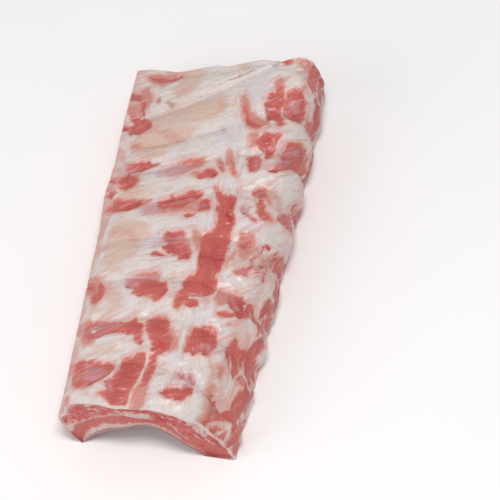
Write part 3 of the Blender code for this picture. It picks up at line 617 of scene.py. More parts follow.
def outline_depth(corners, s, y):
    """How deep each point lies inside an outline: negative outside it."""
    corners = rounded(corners)
    gap, inside = np.full(s.shape, FAR_OFF), np.zeros(s.shape, bool)
    for start, end in zip(corners, corners[1:] + corners[:1]):
        gap = np.minimum(gap, to_segment(s, y, start, end)[0])
        if start[1] != end[1]:
            share = (y - start[1]) / (end[1] - start[1])
            inside ^= (share >= 0) & (share < 1) & (s < start[0] + share * (end[0] - start[0]))
    return np.where(inside, gap, -gap) + OUTLINE_SPREAD


def stroke_depth(chain, s, y):
    """How deep each point lies inside a stroke: negative outside it."""
    best = np.full(s.shape, -FAR_OFF)
    for start, end in zip(chain, chain[1:] or chain):
        gap, along = to_segment(s, y, start, end)
        best = np.maximum(best, start[2] + along * (end[2] - start[2]) - gap)
    return best


def depth_in(shapes, s, y):
    """The depth inside the union of the shapes: positive inside, negative outside."""
    best = np.full(s.shape, -FAR_OFF)
    for shape in shapes:
        low, high = np.min(shape, axis=0), np.max(shape, axis=0)
        close = ((s > low[0] - SHAPE_MARGIN) & (s < high[0] + SHAPE_MARGIN)
                 & (y > low[1] - SHAPE_MARGIN) & (y < high[1] + SHAPE_MARGIN))
        depth = outline_depth if len(shape[0]) == 2 else stroke_depth
        best[close] = np.maximum(best[close], depth(shape, s[close], y[close]))
    return best


def ragged(s, y, size, reach, seed):
    """Coordinates shaken by noise of this size and reach, so that drawn edges look torn."""
    return (s + reach * fractal(s / size, y / size, 2, seed),
            y + reach * fractal(s / size + 40, y / size - 23, 2, seed + 7))


def join(fields, name, depth):
    """Adds another area to a field."""
    fields[name] = np.maximum(fields[name], depth)


def off_ends(y):
    """How far each point lies from the nearer cut end."""
    return np.minimum(y - NEAR_Y, FAR_Y - y)


def outer_fields(s, y, under):
    """The outer side's fields. Under says how far a point lies below the top of the sawn edge."""
    ws, wy = ragged(s, y, *TORN)
    fs, fy = ragged(s, y, *FRAYED)
    fields = {name: depth_in(shapes, ws, wy) for name, shapes in BROAD_SHAPES.items()}
    fields.update({name: depth_in(shapes, fs, fy) for name, shapes in FINE_SHAPES.items()})
    # Streaky meat between the sawn bones, and a rim of fat along the cut ends.
    streak = 1.5 + 6.0 * fractal(y / 15, s / 4.5, 3, 3) + 3.0 * fractal(s / 9, y / 9, 2, 5)
    join(fields, "red", np.minimum(streak, under * 0.8))
    join(fields, "blush", np.minimum(under + 1.0, 2.0))
    join(fields, "white_and_glints", 0.6 - off_ends(y) + 2.4 * noise(s / 9, y / 3, 27))
    # The loin side: meat in the dips between the ribs and in a band along the wall, seams of fat.
    wall_y, wall_s = np.array(WALL_START[::-1], float).T
    beyond = s - np.interp(y, wall_y, wall_s) + 2.2 * fractal(s / 7, y / 6, 3, 8)
    knob_lines = furrow_y(np.array(FURROW_X[2]))
    to_dip = np.min(np.abs(knob_lines[:, None, None] - y[None] + 0.2 * (s[None] - 60)), axis=0)
    dips = 5.0 - to_dip + 5.0 * fractal(s / 9 + 5, y / 11, 3, 9)
    band = 6.5 - np.abs(beyond - 19.0) + 9.0 * fractal(s / 11, y / 26, 4, 15)
    seams = 0.4 - 11.0 * np.abs(fractal(s / 13, y / 30, 2, 19)) + np.minimum(beyond - 4.0, 0)
    bloom = 4.0 * fractal(s / 14 + 9, y / 14, 2, 23)
    join(fields, "red", np.minimum(np.maximum(dips, band), beyond * 0.9))
    join(fields, "deep", np.minimum(band - 4.0, beyond - 6.0))
    join(fields, "white_and_glints", seams)
    join(fields, "blush", np.minimum(bloom, beyond * 0.5))
    fields["wall"] = np.maximum(beyond, under)
    return fields


def inner_fields(x, y):
    """The underside: membrane over the ribs, meat showing between them."""
    place = rib_place(x, y)[1]
    from_gap = np.minimum(place, 1 - place) * RIB_PITCH
    wx, wy = ragged(x, y, 9.0, 3.0, 51)
    red = 3.2 - from_gap + 5.0 * fractal(wx / 16, wy / 12, 3, 13)
    fields = dict.fromkeys(FIELDS, np.full(x.shape, BLANK))
    fields["blush"] = red + 1.0
    fields["tan"] = 3.0 * fractal(x / 20 + 3, y / 20, 2, 17) + 1.0
    fields["mauve"] = red + 2.0
    fields["red"] = red - 1.0
    return fields


def outer_relief(s, y, x, fields):
    """How far the skin stands out of the plain slab, in millimetres."""
    lumps = 0.75 * fractal(s / 13, y / 11, 3, 71) + 0.22 * fractal(s / 3.4, y / 3.0, 2, 77)
    along = s * math.cos(FIBRE_ANGLE) + y * math.sin(FIBRE_ANGLE)
    over = y * math.cos(FIBRE_ANGLE) - s * math.sin(FIBRE_ANGLE)
    bands = 0.45 * fractal(along / 22, over / 3.2, 2, 87)
    sunk = -0.9 * step(-1.2, 1.0, fields["red"]) - 0.35 * step(-1.0, 1.0, fields["mauve"])
    bulge = 0.8 * step(1.0, 8.0, fields["red"])
    crease = -0.3 * step(-1.2, 1.2, fields["dark_and_crease_shade"])
    lines = furrow_y(np.array(x))
    furrow = np.min(np.abs(lines - y[None]), axis=0)
    furrow = -0.8 * bell(furrow, 0, 4.5) * (0.7 + fractal(s / 15, y / 15, 2, 61))
    furrow = furrow * (1 - 0.8 * bell(s, 17.0, 8.0))
    thread = 0.35 * step(-0.8, 0.6, fields["white_and_glints"])
    strip = step(6.0, 12.0, s)
    strands = 0.2 * fractal(s / 1.7, y / 7.5, 2, 83) * step(-0.5, 1.5, fields["red"]) * strip
    torn = bell(s, -50.0, 5.0) * (0.3 + 0.9 * fractal(s / 5.0, y / 6.0, 3, 97))
    wall = step(0, 8, fields["wall"])
    swell = wall * (1.5 * fractal(s / 15, y / 17, 3, 43) - 0.5)
    return lumps + bands + sunk + bulge + crease + thread + strands + furrow + torn + swell


# --- The cut ends -----------------------------------------------------------------------------

# Each stroke is a chain of (x, z, half-width) on the near cut.
SEAM = ((-60, 8), (-46, 19), (-33, 27), (-20, 35), (-8, 39), (4, 37), (14.5, 32), (21.6, 19),
        (30, 6))
CUT_RED = (
    ((-43, 40.5, 1), (-37, 42.8, 1.7), (-29, 43.6, 1.3)), ((-12, 42, 1.2), (-3, 42.8, 1.3)),
    ((0, 43, 1.2), (9, 41.8, 1.7), (17, 40.5, 1.3)), ((-42, 33, 1.5), (-35, 36.5, 1.6)),
    ((-25, 39, 1), (-18, 40.3, 1)), ((-47, 24, 2.6), (-46, 32, 2.6), (-44, 38, 1.6)),
    ((14, 36, 2.6), (20, 32, 3), (23, 26, 2.6)),
    ((24, 22, 3), (28, 14, 4), (34, 7, 5), (41, 7, 5)),
)
CUT_WHITE = (
    ((25, 42, 3.6), (29, 36, 4.4), (31, 31, 3.6)), ((31, 27, 2), (33, 22, 1.4)),
    ((-45.5, 20, 1.6), (-47, 12, 1.6)), ((-10, 37, 1.8), (-2, 36, 2.4), (4, 34.5, 1.8)),
)
CUT_BLOOD = (
    ((4.8, 35.6, 1), (7.6, 34.4, 2.6), (10.8, 34.6, 1.9)), ((12, 36, 0.8), (17, 35.4, 0.8)),
)
CUT_LINING = (5.0, 0.8)  # the white lining under the lower band, from the sawn side to the loin
CUT_THICKNESS = 22.0
SEAM_HALF = 0.7
SEAM_LEAN = 0.8  # turns a height over the seam into a distance from it


def cut_fields(x, z, place, depth, seed):
    """The layers of a cut end: fat, streaky meat, a seam of fat, the dark meat, its lining."""
    wx, wz = ragged(x, z, 5.0, 1.2, seed)
    seam_x, seam_z = np.array(SEAM, float).T
    below = (np.interp(wx, seam_x, seam_z) - wz) * SEAM_LEAN
    lining = np.interp(place, (0, 1), CUT_LINING)
    band = np.minimum(below - SEAM_HALF, CUT_THICKNESS * (1 - depth) - lining)
    layers = fractal(place * 10, depth * 10, 3, seed + 3)
    flecks = fractal(place * 30, depth * 14, 2, seed + 9)
    streaky = np.minimum(8.0 * layers + 3.0 * flecks + 1.6, -below - SEAM_HALF)
    upper = np.minimum(streaky, CUT_THICKNESS * depth - 1.6)
    clot = depth_in(CUT_BLOOD, wx, wz)
    fields = dict.fromkeys(FIELDS, np.full(x.shape, BLANK))
    fields["deep"] = band - 1.5
    fields["blush"] = 5.0 * flecks - 0.5
    fields["red"] = np.maximum(np.maximum(band, upper), depth_in(CUT_RED, wx, wz))
    fields["white_and_glints"] = np.maximum(depth_in(CUT_WHITE, wx, wz),
                                 1.4 - CUT_THICKNESS * depth + 2.4 * flecks)
    fields["dark_and_crease_shade"] = clot - 1.8
    fields["blood"] = np.maximum(clot + 1.2, np.minimum(7.0 * flecks - 0.8, upper - 0.5))
    return fields


# --- Meshes -----------------------------------------------------------------------------------

CAP_ACROSS = 160  # points along a cut end
CAP_THROUGH = 25  # and through its thickness
SHARP_ANGLE = math.radians(70)  # edges sharper than this aren't shaded smooth
FOOT_TUCK = 1.8  # how far the two long edges round in under the rack
FOOT_HEIGHT = 5.0
SHOULDER_RISE = 2.4  # how far the meat stands over the lowest bones, next to their sawn ends
LIMIT_SOFTNESS = 1.2  # how close to the CAD box the skin comes before it is eased back
SAWN_SIDE = -30.0  # the sawn side is where x is below this
SAWN_TOP = 5.5  # how far the sawn edge reaches up over the bones' middles
BONE_FLATNESS = 0.72  # a bone end's height over its width
BONE_EDGE = (0.92, 1.04)  # the meat's skin goes back across this part of the bone's edge
BONE_RECESS = 0.7  # and passes this far behind the sawn bone end
COLLAR_RISE = 0.25  # and stands this far out of it round its edge
END_REACH = 3.0 * MM  # how far behind its tip a bone's sawn face reaches


def bone_ends():
    """Each sawn end: its middle, the way it faces, and its half-width along the rack, in mm."""
    ends = []
    for rib in range(RIB_COUNT):
        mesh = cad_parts[f"rib_bone_{rib + 1}"].data
        tip = min(v.co.x for v in mesh.vertices)
        faces = [f for f in mesh.polygons if f.normal.x < -0.6 and f.center.x < tip + END_REACH]
        points = np.array([mesh.vertices[i].co for f in faces for i in f.vertices]) / MM
        facing = sum((f.normal * f.area for f in faces), Vector()).normalized()
        middle = (points.min(axis=0) + points.max(axis=0)) / 2
        ends.append((middle, np.array(facing), np.ptp(points[:, 1]) / 2))
    return ends


def around_bone(points, middle, facing, half_width):
    """How far out of a bone's end plane points lie, and their place across it: 1 at its edge."""
    away = points - middle
    out = away @ facing
    flat = away - out[..., None] * facing
    up = np.cross(facing, (0.0, 1.0, 0.0))
    half_height = half_width * BONE_FLATNESS
    return out, np.hypot(flat[..., 1] / half_width, flat @ up / half_height)


def end_line(y, ends):
    """The x, z and lean of the sawn ends' plane at each y."""
    middles = np.array([middle for middle, _, _ in ends])[::-1]
    leans = np.array([facing[2] / facing[0] for _, facing, _ in ends])[::-1]
    return tuple(np.interp(y, middles[:, 1], values)
                 for values in (middles[:, 0], middles[:, 2], leans))


def sawn_push(points, ends):
    """How far the sawn side moves out to lie flush with the bones' ends."""
    x, y, z = (points[..., k] for k in range(3))
    end_x, end_z, lean = end_line(y, ends)
    gap = x - (end_x - lean * (z - end_z)) + COLLAR_RISE * (1 + noise(y / 5, z / 5, 53))
    window = step(1.0, 7.0, z) * (1 - step(end_z + 5.0, end_z + 9.0, z)) * (x < SAWN_SIDE)
    return np.maximum(gap, 0) * window


def rim_inset(y):
    """How far the skin pulls in at each row, to round it over into the cut ends."""
    return EDGE_ROUND * (1 - np.sqrt(1 - np.clip(1 - off_ends(y) / EDGE_ROUND, 0, 1) ** 2))


def in_part(x, y, z):
    """Points in the part's frame, in millimetres, from the drawn x."""
    return np.stack([x - MIDDLE_X, y, z], axis=-1)


def outer_skin(y, ends):
    """The outer side's points, fields and grain, as arrays of rows and columns."""
    places = even_places(OUTER_MIDDLE, OUTER_COLUMNS, WALL_SHARE)
    base, normals, s = outer_base(y, places)
    grid_y = np.broadcast_to(y[:, None], s.shape)
    end_z = end_line(grid_y, ends)[1]
    shoulder = bell(base[..., 1] - end_z, 3.0, 4.0) * (base[..., 0] < -40)
    base = base + normals * (SHOULDER_RISE * step(10, 100, grid_y) * shoulder)[..., None]
    under = end_z + SAWN_TOP - base[..., 1] - FAR_OFF * (base[..., 0] > SAWN_SIDE)
    fields = outer_fields(s, grid_y, under)
    relief = outer_relief(s, grid_y, base[..., 0], fields) * np.clip(
        base[..., 1] / RELIEF_LIFT, 0, 1)
    flat = base + normals * (relief - rim_inset(y)[:, None])[..., None]
    x, z = flat[..., 0].copy(), np.maximum(flat[..., 1], 0)
    z[:, (0, -1)] = 0
    tuck = FOOT_TUCK * np.clip(1 - z / FOOT_HEIGHT, 0, 1) ** 2
    x = x - np.sign(x) * tuck * (1 + 0.8 * fractal(s / 9, grid_y / 9, 2, 47))
    points = in_part(x, grid_y + cut_shift(x, grid_y), z)
    points[..., 0] -= sawn_push(points, ends)
    for middle, facing, half_width in ends:
        out, across = around_bone(points, middle, facing, half_width)
        inside = (1 - step(*BONE_EDGE, across)) * (np.abs(out) < 6.0)
        points = points - (inside * (out + BONE_RECESS))[..., None] * facing
    return points, fields, np.stack([s, grid_y, 0 * s], axis=-1)


def inner_skin(y):
    places = np.linspace(0, 1, INNER_COLUMNS)
    base = blend_sections(INNER_NEAR, INNER_MIDDLE, INNER_FAR, y, places)
    grid_y = np.broadcast_to(y[:, None], base.shape[:2])
    swell = (INNER_RISE * rib_swell(base[..., 0], grid_y)
             + 0.5 * fractal(base[..., 0] / 11, grid_y / 12, 3, 91))
    lift = np.clip(base[..., 1] / INNER_LIFT, 0, 1)
    flat = base - outward(base) * (swell * lift - rim_inset(y)[:, None])[..., None]
    x, z = flat[..., 0], np.maximum(flat[..., 1], 0)
    z[:, (0, -1)] = 0
    fields = inner_fields(x, grid_y)
    grain = np.stack([x * 1.1, grid_y, z * 0 + 40], axis=-1)
    return in_part(x, grid_y + cut_shift(x, grid_y), z), fields, grain


def cap(outer_edge, inner_edge, outer_grain, end_y, seed):
    """A cut end's inner points with their fields and grain, and its triangles."""
    across = np.linspace(0, 1, CAP_ACROSS + 2)[1:-1]
    through = np.linspace(0, 1, CAP_THROUGH + 2)[1:-1]

    def along(edge, place):
        length = np.concatenate([[0], np.cumsum(np.linalg.norm(np.diff(edge, axis=0), axis=1))])
        return np.stack([np.interp(place * length[-1], length, edge[:, k])
                         for k in range(edge.shape[1])], axis=-1)

    outer_xz, inner_xz = outer_edge[:, (0, 2)], inner_edge[:, (0, 2)]
    top, bottom = along(outer_xz, across), along(inner_xz, across)
    depth = np.broadcast_to(through[None], (CAP_ACROSS, CAP_THROUGH))
    place = np.broadcast_to(across[:, None], depth.shape)
    xz = top[:, None] + (bottom - top)[:, None] * depth[..., None]
    xz = xz + 0.25 * np.stack([noise(place * 57, depth * 13, 5), noise(place * 61, depth * 11, 6)],
                              axis=-1)
    grain = along(np.column_stack([outer_xz, outer_grain[:, 0]]), across)[:, 2]
    x, z, depth, place = (a.reshape(-1) for a in (xz[..., 0], xz[..., 1], depth, place))
    fields = cut_fields(x + MIDDLE_X, z, place, depth, seed)
    inwards = np.sign(-end_y)
    dent = (0.55 + 0.5 * fractal(x / 9, z / 9, 3, seed) + 0.5 * step(-0.5, 1.0, fields["red"])
            - 0.4 * step(-0.8, 0.8, fields["white_and_glints"]))
    shifted = end_y + cut_shift(x + MIDDLE_X, np.full(x.shape, float(end_y)))
    y = shifted + inwards * np.maximum(dent, 0)
    grain = np.stack([np.repeat(grain, CAP_THROUGH), end_y - inwards * depth * CUT_THICKNESS,
                      0 * x], axis=-1)

    loop = np.vstack([outer_xz, inner_xz[::-1]])
    every = [Vector(p) for p in np.vstack([loop, np.column_stack([x, z])])]
    edges = [(k, (k + 1) % len(loop)) for k in range(len(loop))]
    made = delaunay_2d_cdt(every, edges, [list(range(len(loop)))], 1, 1e-7)
    if len(made[0]) != len(every):
        raise ValueError("a cut end's points don't map one to one")
    origin = [ids[0] for ids in made[3]]
    triangles = [[origin[i] for i in face] for face in made[2]]
    return np.stack([x, y, z], axis=-1), fields, grain, triangles


def grid_faces(index):
    a, b, c, d = index[:-1, :-1], index[1:, :-1], index[1:, 1:], index[:-1, 1:]
    return np.stack([a, b, c, d], axis=-1).reshape(-1, 4)


def rack_mesh():
    """One closed skin: the outer side, the underside, the two feet and the two cut ends."""
    y = skin_rows()
    ends = bone_ends()
    outer, outer_f, outer_g = outer_skin(y, ends)
    inner, inner_f, inner_g = inner_skin(y)
    outer_index = np.arange(outer[..., 0].size).reshape(outer.shape[:2])
    inner_index = outer_index.size + np.arange(inner[..., 0].size).reshape(inner.shape[:2])
    points = [outer.reshape(-1, 3), inner.reshape(-1, 3)]
    grains = [outer_g.reshape(-1, 3), inner_g.reshape(-1, 3)]
    fields = {k: [outer_f[k].reshape(-1), inner_f[k].reshape(-1)] for k in FIELDS}
    cuts = [np.zeros(outer_index.size + inner_index.size)]
    faces = [grid_faces(outer_index), grid_faces(inner_index),
             grid_faces(np.column_stack([outer_index[:, 0], inner_index[:, 0]])),
             grid_faces(np.column_stack([outer_index[:, -1], inner_index[:, -1]]))]
    count = outer_index.size + inner_index.size
    for row, end_y, seed in ((0, NEAR_Y, 21), (-1, FAR_Y, 121)):
        p, f, g, triangles = cap(outer[row], inner[row], outer_g[row], end_y, seed)
        loop = np.concatenate([outer_index[row], inner_index[row][::-1]])
        lookup = np.concatenate([loop, count + np.arange(len(p))])
        faces.append(lookup[np.array(triangles)])
        points.append(p)
        grains.append(g)
        cuts.append(np.ones(len(p)))
        for k in FIELDS:
            fields[k].append(f[k])
        count += len(p)
    mesh = to_mesh("rack_skin", within_box(np.vstack(points)), faces)
    values = {name: np.clip(np.concatenate(fields[name]), -FIELD_LIMIT, FIELD_LIMIT)
              for name in FIELDS}
    values["cut"] = np.concatenate(cuts)
    for name, numbers in values.items():
        mesh.attributes.new(name, "FLOAT", "POINT").data.foreach_set("value", numbers)
    mesh.attributes.new("grain", "FLOAT_VECTOR", "POINT").data.foreach_set(
        "vector", np.vstack(grains).reshape(-1))
    mesh.shade_smooth()
    mesh.set_sharp_from_angle(angle=SHARP_ANGLE)
    return mesh


def to_mesh(name, points, faces):
    """A mesh from points in millimetres and groups of faces, its normals all outwards."""
    work = bmesh.new()
    verts = [work.verts.new(p) for p in points * MM]
    for group in faces:
        for face in group.tolist():
            work.faces.new([verts[i] for i in face])
    bmesh.ops.recalc_face_normals(work, faces=work.faces)
    mesh = bpy.data.meshes.new(name)
    work.to_mesh(mesh)
    work.free()
    return mesh


def within_box(points):
    """Eases any point that would leave the CAD model's box back inside it."""
    low, high = (np.array(corner) / MM for corner in cad_box)
    points = points.copy()
    for axis, sides in ((0, (-1, 1)), (2, (1,))):
        for side in sides:
            limit = (high if side > 0 else low)[axis] * side
            start = limit - LIMIT_SOFTNESS
            over = points[:, axis] * side - start
            eased = start + LIMIT_SOFTNESS * np.tanh(np.maximum(over, 0) / LIMIT_SOFTNESS)
            points[:, axis] = np.where(over > 0, eased * side, points[:, axis])
    points[:, 1] = np.clip(points[:, 1], low[1], high[1])
    return points


# --- Materials --------------------------------------------------------------------------------

def linear(red, green, blue):
    """A colour given from 0 to 255 as it looks on a screen."""
    def one(value):
        value = value / 255
        return value / 12.92 if value <= 0.04045 else ((value + 0.055) / 1.055) ** 2.4
    return (one(red), one(green), one(blue), 1.0)


COOL_FAT = linear(218, 211, 211)
CREAM_FAT = linear(225, 215, 207)
PALE_FAT = linear(236, 228, 223)
PINK_FAT = linear(226, 200, 196)
LAVENDER_FAT = linear(207, 200, 206)
BLUSH_FAT = linear(212, 158, 148)
THREAD_FAT_AND_GLINT = linear(226, 205, 198)
TAN_FAT = linear(216, 183, 166)
FRINGE = linear(219, 168, 153)
MAUVE_VEIL = linear(206, 164, 172)
PALE_MEAT = linear(207, 131, 118)
PALE_PINK = linear(209, 142, 138)
SHALLOW_MEAT = linear(210, 114, 102)
RED_MEAT = linear(199, 94, 86)
DEEP_MEAT = linear(184, 75, 75)
CUT_MEAT_PAINTED_LIGHT = linear(214, 94, 84)
MARBLING = linear(216, 174, 164)
BROWN_SHADE = linear(168, 118, 108)
DARK_SPOT_AND_CREASE_SHADE = linear(128, 52, 52)
BLOOD_RED = linear(200, 24, 30)
BONE_RIM = linear(230, 208, 194)
MARROW = linear(186, 88, 78)
MARROW_LIGHT = linear(222, 160, 146)
SHAKE = 0.8  # how far the fibres shift the edge of a drawn patch, in millimetres
BUMP_DISTANCE = 0.0008


class Graph:
    """Builds a material's nodes, one call for each node."""

    def __init__(self, name):
        self.material = bpy.data.materials.new(name)
        self.material.use_nodes = True
        self.tree = self.material.node_tree
        self.shader = self.tree.nodes["Principled BSDF"]

    def add(self, kind, inputs, output=0, **settings):
        node = self.tree.nodes.new(kind)
        for key, value in settings.items():
            setattr(node, key, value)
        for key, value in inputs.items():
            self.set(node.inputs[key], value)
        return node.outputs[output]

    def set(self, socket, value):
        if isinstance(value, bpy.types.NodeSocket):
            self.tree.links.new(value, socket)
        else:
            socket.default_value = value

    def field(self, name):
        return self.add("ShaderNodeAttribute", {}, 2, attribute_name=name)

    def vector(self, name):
        return self.add("ShaderNodeAttribute", {}, 1, attribute_name=name)

    def math(self, operation, a, b=0.0, c=0.0):
        return self.add("ShaderNodeMath", {0: a, 1: b, 2: c}, operation=operation)

    def scaled(self, vector, scale):
        return self.add("ShaderNodeVectorMath", {0: vector, 1: scale}, operation="MULTIPLY")

    def noise(self, vector, scale, detail=3.0, roughness=0.5):
        return self.add("ShaderNodeTexNoise", {"Vector": vector, "Scale": scale,
                                               "Detail": detail, "Roughness": roughness})

    def ease(self, value, low, high, out_low=0.0, out_high=1.0):
        return self.add("ShaderNodeMapRange", {0: value, 1: low, 2: high, 3: out_low, 4: out_high},
                        interpolation_type="SMOOTHSTEP")

    def mix(self, share, a, b):
        return self.add("ShaderNodeMix", {0: share, 6: a, 7: b}, 2, data_type="RGBA")

    def coats(self, colour, *coats):
        """Lays each colour on where its source passes from low to high: from one share of it
        to another."""
        for source, low, high, share_low, share_high, coat in coats:
            share = self.ease(source, low, high, share_low, share_high)
            colour = self.mix(share, colour, coat)
        return colour

    def blend(self, share, a, b):
        return self.add("ShaderNodeMix", {0: share, 2: a, 3: b}, data_type="FLOAT")

    def finish(self, colour, rough, height, bump_strength, constants):
        """Joins colour, roughness and bump to the shader, and sets its constant values."""
        bump = self.add("ShaderNodeBump", {"Height": height, "Strength": bump_strength,
                                           "Distance": BUMP_DISTANCE})
        values = {"Base Color": colour, "Roughness": rough, "Normal": bump, **constants}
        for key, value in values.items():
            self.set(self.shader.inputs[key], value)


def turned(g, vector, angle):
    return g.add("ShaderNodeVectorRotate", {"Vector": vector, "Angle": -angle},
                 rotation_type="Z_AXIS")


def skin_material():
    g = Graph("rack_skin")
    grain = g.vector("grain")
    field = {name: g.field(name) for name in FIELDS}
    pits = g.noise(grain, 0.5, 4.0, 0.6)
    broad = g.noise(grain, 0.06, 2.0)
    patchy = g.noise(grain, 0.2, 3.0, 0.55)
    fine = g.noise(grain, 2.2, 3.0, 0.6)
    speckle = g.noise(grain, 0.8, 3.0, 0.7)
    # Fibres and membrane run across the rack, rising towards the loin. They run along it in the
    # long strip and on the walls, and steeply up beyond the strip.
    rising, near, steep = (turned(g, grain, a) for a in (FIBRE_ANGLE, NEAR_ANGLE, STEEP_ANGLE))
    s = g.add("ShaderNodeSeparateXYZ", {0: grain})
    at_near = g.ease(g.add("ShaderNodeSeparateXYZ", {0: grain}, 1), -30.0, -60.0)
    in_strip = g.ease(s, 5.0, 12.0)
    beyond_strip = g.ease(s, 24.0, 34.0)
    on_wall = g.ease(field["wall"], 2.0, 9.0)

    def streaks(share_along, share_across, detail):
        def run(vector, *shares):
            return g.noise(g.scaled(vector, (*shares, 1.0)), 1.0, detail, 0.6)
        low = g.blend(at_near, run(rising, share_along, share_across),
                      run(near, share_along, share_across))
        strip = run(grain, share_across, share_along)
        high = run(steep, share_along, share_across)
        return g.blend(on_wall, g.blend(beyond_strip, g.blend(in_strip, low, strip), high), strip)

    def shifted(name, source, low, high, least, most):
        """A field shifted by the fibres, so that its edge follows them."""
        return g.math("ADD", g.ease(source, low, high, least, most), field[name])

    shake = g.ease(streaks(0.2, 0.45, 2.0), 0.3, 0.7, -SHAKE, SHAKE)
    fibre = streaks(0.14, 1.0, 4.0)
    strand = streaks(0.07, 0.8, 5.0)
    sheet = streaks(0.05, 0.34, 4.0)

    fat = g.mix(g.ease(broad, 0.42, 0.6), COOL_FAT, CREAM_FAT)
    fat = g.coats(
        fat,
        (patchy, 0.5, 0.64, 0.0, 0.6, PINK_FAT),
        (patchy, 0.34, 0.48, 0.6, 0.0, LAVENDER_FAT),
        (sheet, 0.54, 0.7, 0.0, 0.5, PINK_FAT),
        (fibre, 0.54, 0.68, 0.0, 0.5, PALE_FAT),
        (fibre, 0.32, 0.46, 0.5, 0.0, PINK_FAT),
        (speckle, 0.54, 0.68, 0.0, 0.6, PINK_FAT),
        (speckle, 0.32, 0.46, 0.7, 0.0, PALE_FAT),
        (fine, 0.52, 0.66, 0.0, 0.4, LAVENDER_FAT),
    )
    loin_pink = g.math("MULTIPLY", g.ease(sheet, 0.52, 0.64), g.blend(beyond_strip, 0.0, 0.3))
    fat = g.mix(loin_pink, fat, BLUSH_FAT)
    edge = g.math("MAXIMUM", field["red"], field["pale"])
    halo = g.math("ADD", edge, g.ease(sheet, 0.36, 0.64, -3.0, 3.0))
    fat = g.coats(
        fat,
        (shifted("tan", sheet, 0.3, 0.7, -2.0, 2.0), -3.0, 3.0, 0.0, 0.85, TAN_FAT),
        (shifted("blush", fibre, 0.3, 0.7, -1.6, 1.6), -2.6, 2.6, 0.0, 0.8, BLUSH_FAT),
        (halo, -5.0, 0.5, 0.0, 0.5, BLUSH_FAT),
        (edge, -2.0, 0.2, 0.0, 0.65, FRINGE),
    )
    thin = g.mix(g.ease(fibre, 0.4, 0.62), PALE_MEAT, PALE_PINK)
    thin = g.coats(thin, (fibre, 0.26, 0.42, 0.5, 0.0, RED_MEAT))
    colour = g.mix(g.ease(g.math("ADD", field["pale"], shake), -1.0, 1.2, 0.0, 0.9), fat, thin)

    red = g.math("ADD", field["red"], shake)
    is_meat = g.ease(red, -0.7, 0.7)
    meat = g.mix(g.ease(red, 0.0, 2.0), SHALLOW_MEAT, RED_MEAT)
    meat = g.coats(
        meat,
        (g.math("ADD", field["deep"], shake), -3.5, 3.0, 0.0, 0.9, DEEP_MEAT),
        (fibre, 0.48, 0.7, 0.0, 0.5, SHALLOW_MEAT),
        (fibre, 0.28, 0.46, 0.4, 0.0, DEEP_MEAT),
        (speckle, 0.58, 0.7, 0.0, 0.3, SHALLOW_MEAT),
        (speckle, 0.3, 0.42, 0.4, 0.0, DEEP_MEAT),
    )
    off_strip = g.math("MAXIMUM", g.math("SUBTRACT", 1.0, in_strip), beyond_strip)
    thread = g.math("MULTIPLY", g.ease(strand, 0.54, 0.64, 0.0, 0.6), off_strip)
    thread = g.math("MULTIPLY", thread, g.ease(field["deep"], -3.0, 0.0, 1.0, 0.1))
    meat = g.mix(thread, meat, MARBLING)
    # Painted light: the cut ends get a brighter meat colour, to lift them out of the shade they
    # face.
    meat = g.mix(g.math("MULTIPLY", g.field("cut"), 0.5), meat, CUT_MEAT_PAINTED_LIGHT)
    colour = g.mix(is_meat, colour, meat)

    mauve = shifted("mauve", fibre, 0.3, 0.7, -1.4, 1.4)
    veil = g.math("MULTIPLY", g.ease(mauve, -1.6, 1.6), g.blend(is_meat, 0.75, 0.55))
    veil = g.math("MULTIPLY", veil, g.ease(strand, 0.4, 0.54, 0.45, 1.0))
    colour = g.mix(veil, colour, MAUVE_VEIL)
    brown_and_shade, white_and_glints, dark_and_crease_shade = (g.math("MULTIPLY_ADD", shake, share, field[name])
                          for name, share in (("brown_and_shade", 1.5), ("white_and_glints", 0.5), ("dark_and_crease_shade", 0.5)))
    colour = g.coats(
        colour,
        # Painted shade in brown, where the skin falls into hollows and into the crevice along the
        # loin wall.
        (brown_and_shade, -2.2, 2.2, 0.0, 0.8, BROWN_SHADE),
        # Threads of white fat, with painted glints among them.
        (white_and_glints, -0.8, 0.5, 0.0, 0.85, THREAD_FAT_AND_GLINT),
        (shifted("blood", speckle, 0.36, 0.64, -1.6, 1.2), -0.8, 0.6, 0.0, 0.92, BLOOD_RED),
        # Painted shade in the creases, and the dark spots and the clot's middle.
        (dark_and_crease_shade, -0.8, 0.6, 0.0, 0.5, DARK_SPOT_AND_CREASE_SHADE),
    )

    rough = g.math("MULTIPLY_ADD", g.math("SUBTRACT", fine, 0.5), 0.35,
                   g.blend(is_meat, 0.42, 0.36))
    height = g.math("MULTIPLY_ADD", fine, 0.3, g.math("MULTIPLY", pits, 0.8))
    height = g.math("MULTIPLY_ADD", fibre, 1.1, height)
    g.finish(colour, rough, height, 1.0, {
        "Coat Weight": 0.3, "Coat Roughness": 0.2, "Specular IOR Level": 0.5,
        "Subsurface Weight": 0.12, "Subsurface Scale": 0.003,
        "Subsurface Radius": (1.0, 0.35, 0.25)})
    return g.material


